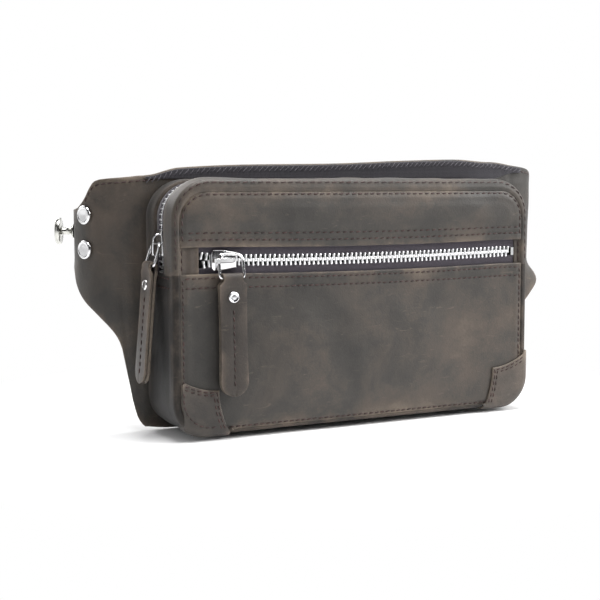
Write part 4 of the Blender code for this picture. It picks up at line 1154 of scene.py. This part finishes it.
def rounded_path(half_a, low, high, corners, steps=8):
    """Closed loop (a, b) of a rectangle with its own radius at each corner."""
    loop = []
    centres = ((half_a, high, -1, -1, 90), (half_a, low, -1, 1, 0),
               (-half_a, low, 1, 1, -90), (-half_a, high, 1, -1, 180))
    for (a, b, sa, sb, start), radius in zip(centres, corners):
        for k in range(steps + 1):
            t = math.radians(start - 90 * k / steps)
            loop.append((a + sa * radius + radius * math.cos(t),
                         b + sb * radius + radius * math.sin(t)))
    return loop


def build_ring(which, across):
    ring, pull = PIVOTS[which + "_ring"], PIVOTS[which + "_pull"]
    drop = pull - ring
    up = -drop.normalized()
    corners = (RING_TOP_R, RING_BOTTOM_R, RING_BOTTOM_R, RING_TOP_R)
    path = [ring + across * a + up * b
            for a, b in rounded_path(RING_HALF_W, -drop.length, 0.0, corners)]
    body = which + "_ring"
    own(tube(body + "_wire", path, RING_WIRE_R, "chrome", body), body)


def pull_half_width(down):
    """Half width of a pull at a distance below its fold."""
    if down <= PULL_NECK_END:
        return PULL_NECK_HALF_W
    if down < PULL_FULL_FROM:
        share = smoothstep(down, PULL_NECK_END, PULL_FULL_FROM)
        return PULL_NECK_HALF_W + (PULL_HALF_W - PULL_NECK_HALF_W) * share
    reach = PULL_HALF_W - (PULL_LEN - down)
    if reach <= 0:
        return PULL_HALF_W - 0.5 * math.sin(math.pi * down / (PULL_LEN - PULL_HALF_W))
    return max(math.sqrt(max(PULL_HALF_W ** 2 - reach ** 2, 0.0)), 1.2)


def pull_crown(down, share):
    """Puffing of the strip's faces, drawn in along the stitched centre line."""
    full = smoothstep(down, PULL_CLOSED_FROM - 2, PULL_CLOSED_FROM + 5)
    across = share * PULL_HALF_W
    return full * (0.22 * (1 - share ** 4) - groove(across, 0.26, 1.0))


def build_pull(which, across, out):
    """A strip of leather folded over the ring's bar, sewn together and riveted."""
    bar = PIVOTS[which + "_pull"]
    tilt = PULL_TILT[which]
    level_up = Vector((0, 0, 1))
    up = level_up * math.cos(tilt) - out * math.sin(tilt)
    facing = out * math.cos(tilt) + level_up * math.sin(tilt)
    half_t = PULL_T / 2
    fold_r = RING_WIRE_R + 0.25 + half_t
    closed = half_t + 0.12
    round_from = PULL_LEN - PULL_HALF_W
    downs = [0.0, 0.9, PULL_NECK_END, 2.6, 3.5, PULL_FULL_FROM, 6.0, 7.5, PULL_CLOSED_FROM]
    downs += list(np.linspace(PULL_CLOSED_FROM + 2.5, round_from, 22))
    downs += [round_from + PULL_HALF_W * math.sin(math.radians(a)) for a in range(9, 91, 9)]

    def layer(down):
        return fold_r + (closed - fold_r) * smoothstep(down, 0.0, PULL_CLOSED_FROM)

    path = [(-d, layer(d), 0.0) for d in reversed(downs)]
    path += [(fold_r * math.sin(t), fold_r * math.cos(t), t)
             for t in np.radians(range(18, 180, 18))]
    path += [(-d, -layer(d), math.pi) for d in downs]
    shares = [math.sin(math.pi / 2 * t) for t in np.linspace(-1, 1, 19)]
    grid = []
    for b, c, angle in path:
        half = pull_half_width(-b)
        column = []
        for share in shares:
            lift = half_t + pull_crown(-b, share)
            pb, pc = b + lift * math.sin(angle), c + lift * math.cos(angle)
            column.append(bar + across * (share * half) + up * pb + facing * pc)
        grid.append(column)
    body = which + "_pull"
    piece = shell(body + "_leather", grid, PULL_T, "pull", "edge", body, flip=True,
                  radius=0.3, worn=2.5)
    own(piece, body)
    thick = closed + half_t
    for label, sign in (("outer", 1), ("inner", -1)):
        line = [bar - up * d + facing * sign * thick for d in np.linspace(18.5, 66.0, 60)]
        stitches("%s_stitches_%s" % (body, label), line, [facing * sign], "thread", body,
                 pitch=4.0, length=2.9)
    high = thick + 0.2
    profile = [(radius, high + rise) for radius, rise in PULL_RIVET_HEAD]
    profile += [(radius, rise - high) for radius, rise in PULL_RIVET_BACK]
    rivet = turned(body + "_rivet_metal", profile, bar - up * PULL_RIVET_DOWN, facing,
                   "chrome", body)
    own(rivet, body + "_rivet")


def sheet_of_metal(name, grid, thickness, outwards, body):
    """A rounded metal plate whose grid lies on the side facing outwards."""
    normals = grid_normals(np.array(grid))
    middle = Vector(normals[len(grid) // 2][len(grid[0]) // 2])
    return shell(name, grid, thickness, "chrome", "chrome", body,
                 flip=middle.dot(outwards) < 0, radius=0.45)


def build_slider(which, place):
    """Two domed plates round the chain, the post between them and the ring's bridge."""
    body = which + "_slider"
    origin = place(0, 0, 0)
    out = (place(0, 0, 1) - origin).normalized()
    shares = np.linspace(-1, 1, 13)
    pieces = []
    for label, sign, dome in (("outer", 1, 0.35), ("inner", -1, 0.1)):
        grid = []
        for u in np.linspace(-8.0, 8.0, 25):
            half = smooth_curve(SLIDER_OUTLINE, u)
            grid.append([place(u, half * share, sign * (SLIDER_PLATE_OUT + dome * (1 - share ** 2)))
                         for share in shares])
        pieces.append(sheet_of_metal("%s_%s_plate" % (body, label), grid, SLIDER_PLATE_T, out * sign,
                                     body))
    grid = [[place(u, v, n) for v in np.linspace(-BRIDGE_HALF_V, BRIDGE_HALF_V, 9)]
            for u, n in BRIDGE_PATH]
    pieces.append(sheet_of_metal(body + "_bridge", grid, BRIDGE_T, out, body))
    points = [place(u, v, n) for n in (-POST_HALF_N, POST_HALF_N) for u, v in POST_OUTLINE]
    faces = prism_faces(0, 2, len(POST_OUTLINE))
    pieces.append(add_mesh(body + "_post", points, faces, "chrome", body))
    for piece in pieces:
        own(piece, body)


def soften_edges(node, width):
    """Break the sharp edges of a metal solid that stays visible."""
    bevel = frame["nodes"][node].modifiers.new("soft_edges", "BEVEL")
    bevel.width = width * MM
    bevel.segments = 3
    bevel.limit_method = "ANGLE"
    bevel.angle_limit = math.radians(25)
    bevel.harden_normals = True


def build_hardware():
    main_z = (MAIN_SLIDER[0].z + MAIN_SLIDER[1].z) / 2

    def on_front_chain(u, v, n):
        return Vector((SLIDER_X + u, ZIP_Y - n, ZIP_Z + v))

    def on_main_chain(u, v, n):
        return Vector((X0 + ZIP_DEPTH - n, MAIN_ZIP_Y + v, main_z + u))

    for which, across, out, place in (
            ("front", Vector((1, 0, 0)), Vector((0, -1, 0)), on_front_chain),
            ("main", Vector((0, -1, 0)), Vector((-1, 0, 0)), on_main_chain)):
        build_slider(which, place)
        build_ring(which, across)
        build_pull(which, across, out)
    soften_edges("front_zip_bottom_stop", 0.3)


# ---- back panel, wings and belt ----
def smooth_curve(points, at):
    """Height of a smooth curve through support points (cubic Hermite)."""
    def slope(i):
        if i == 0 or i == len(points) - 1:
            return 0.0
        (x0, z0), (x1, z1), (x2, z2) = points[i - 1:i + 2]
        left, right = (z1 - z0) / (x1 - x0), (z2 - z1) / (x2 - x1)
        if left * right <= 0:
            return 0.0
        return 2 * left * right / (left + right)

    at = min(max(at, points[0][0]), points[-1][0])
    index = max(i for i in range(len(points) - 1) if points[i][0] <= at)
    (x0, z0), (x1, z1) = points[index], points[index + 1]
    width = x1 - x0
    t = (at - x0) / width
    m0, m1 = slope(index) * width, slope(index + 1) * width
    return ((2 * t ** 3 - 3 * t ** 2 + 1) * z0 + (t ** 3 - 2 * t ** 2 + t) * m0
            + (3 * t ** 2 - 2 * t ** 3) * z1 + (t ** 3 - t ** 2) * m1)


class Wing:
    """Half of the back leather: flat behind the pouch, then curled backwards.

    Places are given by s, the distance from the flex line; it is negative behind the pouch.
    The wing curls with a radius from its start on; creases are (place, depth).
    """

    def __init__(self, side, radius, start, relaxed, top, bottom, tab_start, creases):
        self.side, self.radius, self.start, self.relaxed = side, radius, start, relaxed
        self.top_curve, self.bottom_curve = top, bottom
        self.tab_start, self.creases = tab_start, creases
        self.body = "left_wing" if side < 0 else "right_wing"

    def top(self, s):
        if s < -1.6:
            return smooth_curve(CENTRE_TOP, self.side * (FLEX_X + s))
        return smooth_curve(self.top_curve, s)

    def low(self, s):
        if s < 0:
            edge = max(CORNER_BOTTOM + 1.6 + s, 0) / CORNER_BOTTOM
            return -PANEL_DROP + 2.0 * min(edge, 1.0) ** 2
        return smooth_curve(self.bottom_curve, s)

    def angle(self, s, z):
        ease = 1.0
        if self.relaxed:
            ease = RELAX_BEND + (1 - RELAX_BEND) * smoothstep(z, RELAX_LOW, RELAX_HIGH)
        return max(s - self.start, 0.0) / self.radius * ease

    def point(self, s, z, depth):
        bend = self.angle(s, z)
        if bend < 1e-9:
            across, back = s, depth
        else:
            radius = (s - self.start) / bend
            across = min(s, self.start) + (radius - depth) * math.sin(bend)
            back = radius - (radius - depth) * math.cos(bend)
        return Vector((self.side * (FLEX_X + across), back - PANEL_T, z))

    def outward(self, s, z):
        bend = self.angle(s, z)
        return Vector((self.side * math.sin(bend), -math.cos(bend), 0))

    def ripple(self, s, z):
        """How far the free leather stands out from its plain sheet."""
        free = smoothstep(s, -6, 14)
        under_tab = smoothstep(s, self.tab_start - 8, self.tab_start)
        free *= 1 - under_tab * (1 - smoothstep(abs(z - STRAP_Z), 16, 24))
        slow = noise.noise(Vector((s * 0.030, z * 0.018, 2.0 + self.side)))
        fine = noise.noise(Vector((s * 0.09, z * 0.05, 7.0 - self.side)))
        lift = (slow * 1.3 + fine * 0.5) * free
        for place, depth in self.creases:
            drift = place + 2.5 * noise.noise(Vector((place, z * 0.03, 0)))
            lift -= depth * free * math.exp(-((s - drift) / 1.4) ** 2)
        if z > POUCH_TOP:
            lift += 0.5 * noise.noise(Vector((s * 0.025, 0, 9.0)))
        return lift

    def face(self, s, z, proud=0.0):
        return self.point(s, z, -self.ripple(s, z) - proud)


LEFT_TAB_START, RIGHT_TAB_START = 33.0, 56.0
LEFT_RIVET_S, RIGHT_RIVET_S, STUD_S = 39.0, 66.0, 66.0
RIVET_PITCH = 21.6
TOP_STITCH_IN = 3.2
FACING_T = 1.2
FACING_TAIL = 26.0              # how far the facing runs on along the right wing


def make_wings():
    left = Wing(-1, radius=33.2, start=0.0, relaxed=False, top=LEFT_TOP, bottom=LEFT_BOTTOM,
                tab_start=LEFT_TAB_START, creases=((4.0, 0.5), (13.0, 0.35), (24.0, 0.3)))
    right = Wing(1, radius=25.8, start=20.0, relaxed=True, top=RIGHT_TOP, bottom=RIGHT_BOTTOM,
                 tab_start=RIGHT_TAB_START, creases=((3.0, 0.45), (17.0, 0.3)))
    return left, right


def bend_between(piece, wing):
    """Bake a piece's placement into its mesh."""
    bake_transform(piece)


def build_back_half(wing):
    places = list(np.linspace(-FLEX_X, -12, 48)) + list(np.linspace(-10, WING_LEN, 56))
    grid = []
    for s in places:
        low, high = wing.low(s), wing.top(s)
        grid.append([wing.face(s, z) for z in np.linspace(low, high, 58)])
    piece = shell(wing.body + "_back_leather", grid, LEATHER, "face", "edge",
                  flip=wing.side < 0, joined=True)
    bend_between(piece, wing)
    own(piece, "back_panel", wing.body)
    path, normals = [], []
    for s in np.linspace(-8.0, WING_LEN - 34.0, 60):
        z = wing.top(s) - TOP_STITCH_IN
        path.append(wing.face(s, z))
        normals.append(wing.outward(s, z))
    seam = stitches(wing.body + "_stitches_top", path, normals, "thread", pitch=4.4)
    bend_between(seam, wing)


def build_facing(wings):
    """Dark strip sewn along the inside of the back panel's top edge, with slanted thread."""
    left, right = wings
    grid, line, normals = [], [], []
    for x in np.linspace(-FLEX_X + 1.6, FLEX_X + FACING_TAIL, 144):
        wing = left if x < 0 else right
        s = abs(x) - FLEX_X
        high = wing.top(s) - 0.9
        low = POUCH_TOP + 0.3
        low += (high - 3.6 - low) * smoothstep(s, 0.0, FACING_TAIL)
        grid.append([wing.face(s, z, FACING_T + 0.25) for z in np.linspace(low, high, 9)])
        line.append(wing.face(s, high - 2.2, FACING_T + 0.25))
        normals.append(wing.outward(s, high))
    piece = shell("back_top_facing_cloth", grid, FACING_T, "facing", "facing")
    own(piece, "back_top_facing")
    seam = stitches("back_top_facing_stitches", line, normals, "pale_thread", pitch=3.6,
                    length=3.4, slant=0.9)
    for part in (piece, seam):
        bend_between(part, right)


def turn(path, radius, degrees, steps):
    """Continue a plan path (x, y, heading) round an arc; left turns are positive."""
    x, y, heading = path[-1]
    sign = 1 if degrees > 0 else -1
    cx, cy = x - sign * radius * math.sin(heading), y + sign * radius * math.cos(heading)
    for k in range(1, steps + 1):
        h = heading + math.radians(degrees) * k / steps
        path.append((cx + sign * radius * math.sin(h), cy - sign * radius * math.cos(h), h))


def straight(path, length, steps):
    """Continue a plan path straight on."""
    x, y, heading = path[-1]
    for k in range(1, steps + 1):
        reach = length * k / steps
        path.append((x + reach * math.cos(heading), y + reach * math.sin(heading), heading))


def band_grid(path, lift, rows=15):
    """Right-hand face of a band standing on a plan path, lift away from its centre line."""
    grid = []
    for x, y, heading in path:
        px, py = x + math.sin(heading) * lift, y - math.cos(heading) * lift
        grid.append([Vector((px, py, z)) for z in np.linspace(STRAP_LOW, STRAP_HIGH, rows)])
    return grid


RIVET_CAP = ((0, 1.95), (2.2, 1.92), (3.8, 1.84), (4.3, 1.86), (4.6, 2.05), (4.95, 2.15),
             (5.3, 2.05), (5.65, 1.75), (5.9, 1.3), (6.0, 0.8), (5.9, 0.35), (5.5, 0.25),
             (1.8, 0.25))


def cap_rivets(label, wing, s, stack):
    """Two rivets through a stack of leather, one above the other."""
    profile = RIVET_CAP + ((1.8, -stack), (4.4, -stack), (4.5, -stack - 0.3),
                           (4.1, -stack - 0.8), (0, -stack - 1.1))
    for level, z in (("upper", STRAP_Z + RIVET_PITCH / 2), ("lower", STRAP_Z - RIVET_PITCH / 2)):
        name = "%s_rivet_%s" % (label, level)
        own(turned(name + "_metal", profile, wing.point(s, z, 0), wing.outward(s, z), "chrome",
                   wing.body), name)


STUD_HEAD_R, STUD_HEAD_T = 8.5, 3.2
STUD_NECK_R, STUD_NECK_LEN = 2.3, 8.3


def build_left_end(wing):
    """Tab inside the left wing, with its rivets and the stud that the strap buttons onto."""
    grid = []
    under = LEATHER + 0.3
    low, high = (corner.z for corner in box("left_strap_tab"))
    for s in np.linspace(LEFT_TAB_START, WING_LEN - 2, 26):
        grid.append([wing.point(s, z, under) for z in np.linspace(low, high, 20)])
    tab = shell("left_strap_tab_leather", grid, LEATHER, "side", "edge", wing.body,
                flip=True)
    own(tab, "left_strap_tab")
    stack = 2 * LEATHER + 0.9
    cap_rivets("left", wing, LEFT_RIVET_S, stack)
    centre, out = wing.point(STUD_S, STRAP_Z, 0), wing.outward(STUD_S, STRAP_Z)
    high = STUD_NECK_LEN + STUD_HEAD_T
    stud = ((0, 0.3), (4.3, 0.3), (4.5, 0.5), (4.5, 1.0), (4.1, 1.35), (3.0, 1.6),
            (STUD_NECK_R, 2.2), (STUD_NECK_R, STUD_NECK_LEN - 0.8), (2.9, STUD_NECK_LEN - 0.2),
            (3.6, STUD_NECK_LEN), (7.9, STUD_NECK_LEN), (8.35, STUD_NECK_LEN + 0.15),
            (STUD_HEAD_R, STUD_NECK_LEN + 0.5), (STUD_HEAD_R, high - 0.8), (8.3, high - 0.35),
            (7.8, high - 0.08), (5.0, high + 0.1), (0, high + 0.2))
    own(turned("belt_stud_metal", stud, centre, out, "steel", wing.body), "belt_stud")
    back = -stack - 0.2
    screw = ((0, 0.2), (1.2, 0.2), (1.2, back), (4.3, back), (4.5, back - 0.3),
             (4.3, back - 0.8), (3.2, back - 1.15), (0, back - 1.3))
    own(turned("belt_stud_screw_metal", screw, centre, out, "chrome", wing.body),
        "belt_stud_screw")


BELT_WIRE_R = 1.5
STRAP_BEND_R, STRAP_FOLD_R = 26.0, 11.0
STRAP_INNER_RUN, STRAP_OUTER_RUN = 195.0, 175.0
BELT_WRAP = 240.0
STRAP_SEWN_FROM = 26            # first point of the strap's path beyond its loop


def build_right_end(wing):
    """Tab folded round the belt ring, its rivets, the ring and the strap."""
    half_t = LEATHER / 2
    loop_r = BELT_WIRE_R + 0.3 + half_t
    path = []
    for s in np.linspace(RIGHT_TAB_START, WING_LEN, 14):
        p = wing.point(s, STRAP_Z, LEATHER + 0.3 + half_t)
        bend = wing.angle(s, STRAP_Z)
        path.append((p.x, p.y, bend))
    straight(path, 3.0, 2)
    turn(path, loop_r, 300, 30)
    tab = shell("right_strap_tab_leather", band_grid(path, half_t), LEATHER, "side",
                "edge", wing.body)
    own(tab, "right_strap_tab")
    cap_rivets("right", wing, RIGHT_RIVET_S, 2 * LEATHER + 1.2)

    near, far = PIVOTS["belt_ring"].copy(), PIVOTS["belt_strap"].copy()
    near.z = far.z = STRAP_Z
    along = (far - near).normalized()
    reach = (far - near).length
    half_h = (STRAP_HIGH - STRAP_LOW) / 2 + 3.2
    loop = rounded_path(half_h, 0.0, reach, (2.5,) * 4)
    ring = tube("belt_ring_wire", [near + Vector((0, 0, a)) + along * b for a, b in loop],
                BELT_WIRE_R, "chrome", "belt_ring")
    own(ring, "belt_ring")
    build_strap(far, math.atan2(along.y, along.x), loop_r)


def build_strap(far, heading, loop_r):
    """Belt strap looped on the ring, bent round behind the pack and doubled back."""
    half_t = LEATHER / 2
    start = heading - math.radians(BELT_WRAP)
    path = [(far.x + loop_r * math.sin(start), far.y - loop_r * math.cos(start), start)]
    turn(path, loop_r, BELT_WRAP, 24)
    straight(path, 3.0, 2)
    turn(path, STRAP_BEND_R, 180 - math.degrees(heading), 24)
    straight(path, STRAP_INNER_RUN, 60)
    turn(path, STRAP_FOLD_R, -180, 24)
    straight(path, STRAP_OUTER_RUN, 54)
    strap = shell("belt_strap_leather", band_grid(path, half_t), LEATHER, "face",
                  "edge", "belt_strap")
    cut_keyholes(strap, path[-1])
    own(strap, "belt_strap")
    sewn = path[STRAP_SEWN_FROM:]
    for label, sign in (("right", 1), ("left", -1)):
        lift = half_t * sign
        normals = [Vector((math.sin(h), -math.cos(h), 0)) * sign for _, _, h in sewn]
        for edge, z in (("low", STRAP_LOW + 2.5), ("high", STRAP_HIGH - 2.5)):
            line = [Vector((x + math.sin(h) * lift, y - math.cos(h) * lift, z))
                    for x, y, h in sewn]
            stitches("belt_strap_stitches_%s_%s" % (label, edge), line, normals, "thread",
                     "belt_strap", pitch=4.6)


KEYHOLE_R, KEYHOLE_SLIT, KEYHOLE_SLIT_HALF = 2.6, 9.0, 0.45
KEYHOLES, KEYHOLE_FIRST, KEYHOLE_PITCH = 5, 30.0, 25.0


def cut_keyholes(strap, end):
    """Punch the slit holes that button over the stud."""
    end_x, end_y, _ = end
    outline = [(KEYHOLE_R * math.cos(math.radians(a)), KEYHOLE_R * math.sin(math.radians(a)))
               for a in range(12, 349, 12)]
    outline += [(KEYHOLE_SLIT, -KEYHOLE_SLIT_HALF), (KEYHOLE_SLIT, KEYHOLE_SLIT_HALF)]
    faces = prism_faces(0, 2, len(outline))
    cutters = []
    for k in range(KEYHOLES):
        x = end_x - KEYHOLE_FIRST - KEYHOLE_PITCH * k
        points = [(x + a, y, STRAP_Z + b) for y in (end_y - 3, end_y + 3) for a, b in outline]
        cutter = add_mesh("keyhole_%d" % k, points, faces, "face", None, range(len(faces)), "edge")
        cut = strap.modifiers.new("hole_%d" % k, "BOOLEAN")
        cut.operation = "DIFFERENCE"
        cut.solver = "EXACT"
        cut.object = cutter
        cutters.append(cutter)
    bpy.context.view_layer.update()
    bake_modifiers(strap)
    for cutter in cutters:
        bpy.data.objects.remove(cutter, do_unlink=True)


def build_back():
    left, right = make_wings()
    for wing in (left, right):
        build_back_half(wing)
    build_facing((left, right))
    build_left_end(left)
    build_right_end(right)


# ---- stage ----
CAMERA_TURN = math.radians(28.16)
CAMERA_DOWN = math.radians(5.36)
CAMERA_DISTANCE = 0.7916
CAMERA_HEIGHT = 0.1516
CAMERA_LENS = 74.8
CAMERA_SHIFT = -0.105


def place_camera():
    data = bpy.data.cameras.new("camera")
    data.sensor_width = 36.0
    data.lens = CAMERA_LENS
    data.shift_x = CAMERA_SHIFT
    data.clip_start = 0.01
    camera = linked("camera", data)
    level = Vector((math.sin(CAMERA_TURN), math.cos(CAMERA_TURN), 0))
    place = Vector((0, FRONT_Y * MM, CAMERA_HEIGHT)) - level * CAMERA_DISTANCE
    forward = level * math.cos(CAMERA_DOWN) - Vector((0, 0, math.sin(CAMERA_DOWN)))
    right = Vector((math.cos(CAMERA_TURN), -math.sin(CAMERA_TURN), 0))
    pose = Matrix((right, right.cross(forward), -forward)).transposed().to_4x4()
    pose.translation = place
    camera.matrix_world = pose
    bpy.context.scene.camera = camera


def add_softbox(name, place, size, power):
    data = bpy.data.lights.new(name, "AREA")
    data.shape = "RECTANGLE"
    data.size, data.size_y = size
    data.energy = power
    light = linked(name, data)
    light.location = place
    light.rotation_mode = "QUATERNION"
    aim = Vector(LIGHT_TARGET) - Vector(place)
    light.rotation_quaternion = aim.to_track_quat("-Z", "Y")


LIGHT_TARGET = (0, 0, 0.08)
# name, place in metres, size in metres, watts
SOFTBOXES = (("key", (0.85, -0.62, 0.70), (0.7, 0.7), 14.8),
             ("fill", (-0.9, -0.7, 0.35), (0.35, 0.9), 0.55),
             ("overhead", (0.05, -0.10, 1.1), (0.9, 0.5), 17.0),
             ("behind", (-0.3, 1.0, 0.6), (0.9, 0.6), 6.0))
WORLD_LIGHT, PANEL_LIGHT = 0.29, 1.15


def build_world():
    """White surroundings; metal mirrors bright panels, dark gaps and a dark cloth instead.

    The surroundings light the object more weakly than the camera sees them.
    """
    world = bpy.data.worlds.new("studio")
    world.use_nodes = True
    s = Nodes(world.node_tree, "Generated")

    def background(colour, strength):
        return s.node("ShaderNodeBackground", Color=colour, Strength=strength).outputs[0]

    facing = s.node("ShaderNodeVectorMath", {"operation": "DOT_PRODUCT"})
    s.set(facing.inputs[0], s.coords)
    s.set(facing.inputs[1], (-math.sin(CAMERA_TURN), -math.cos(CAMERA_TURN), 0.10))
    cloth = s.spread(facing.outputs["Value"], 0.40, 0.62, curve="SMOOTHSTEP")
    gaps = s.spread(s.wave(0.85, "Z", 1.2), 0.35, 0.60, curve="SMOOTHSTEP")
    panels = s.mix_shaders(s.math("MAXIMUM", cloth, gaps), background((1.0, 1.0, 1.0), PANEL_LIGHT),
                           background((0.010, 0.010, 0.012), 1.0))
    rays = s.node("ShaderNodeLightPath").outputs
    seen = s.mix_shaders(rays["Is Glossy Ray"], background((0.98, 0.98, 1.0), WORLD_LIGHT), panels)
    seen = s.mix_shaders(rays["Is Camera Ray"], seen, background((1.0, 1.0, 1.0), 1.0))
    s.set(s.tree.nodes["World Output"].inputs["Surface"], seen)
    bpy.context.scene.world = world


def light_scene():
    for name, place, size, power in SOFTBOXES:
        add_softbox(name, place, size, power)
    build_world()
    bpy.context.scene.view_settings.view_transform = "Standard"


FLOOR_IN_METAL = 0.45           # how bright the far floor looks mirrored in the metal


def floor_material():
    """Matt white paper that brightens into the white backdrop away from the object."""
    s = Shader("studio_floor")
    paper = s.ramp(s.noise(30.0, 4.0, 0.6), ((0.3, (0.93, 0.93, 0.93)), (0.7, (0.95, 0.95, 0.95))))
    s.finish(Base_Color=paper, Roughness=0.9)
    backdrop = s.node("ShaderNodeEmission", Color=(1.0, 1.0, 1.0), Strength=1.0).outputs[0]
    reach = s.node("ShaderNodeVectorMath", {"operation": "LENGTH"})
    s.set(reach.inputs[0], s.coords)
    share = s.spread(reach.outputs["Value"], 0.09, 0.29, curve="SMOOTHSTEP")
    rays = s.node("ShaderNodeLightPath").outputs
    seen = s.math("ADD", rays["Is Camera Ray"],
                  s.math("MULTIPLY", rays["Is Glossy Ray"], FLOOR_IN_METAL), clamp=True)
    seen = s.mix_shaders(s.math("MULTIPLY", share, seen), s.surface.outputs[0], backdrop)
    s.set(s.tree.nodes["Material Output"].inputs["Surface"], seen)
    return s.material


def build_floor():
    half, low = 6.0, cad_bounds[0].z - 0.0006
    mesh = bpy.data.meshes.new("floor")
    corners = [(-half, -half, low), (half, -half, low), (half, half, low), (-half, half, low)]
    mesh.from_pydata(corners, [], [(0, 1, 2, 3)])
    mesh.materials.append(floor_material())
    linked("floor", mesh)


# Nodes in the dark leather slot take the side leather, darkened with painted shade.
NODE_LOOKS = {"oiled_leather": "face", "dark_leather": "side", "pull_leather": "pull",
              "zip_tape": "tape", "chrome": "chrome", "lining_cloth": "lining"}


def dress_nodes():
    """Give every CAD node that stays visible its own finished material."""
    for part in frame["record"]["subparts"]:
        node = frame["nodes"][part["node"]]
        node.data.materials.clear()
        node.data.materials.append(LOOKS[NODE_LOOKS[part["material_slot"]]])


def build_all():
    dress_nodes()
    build_front()
    build_gusset()
    build_corner_patch("corner_patch_left", -1)
    build_corner_patch("corner_patch_right", 1)
    build_zips()
    build_hardware()
    build_back()
    place_camera()
    light_scene()
    build_floor()


build_all()
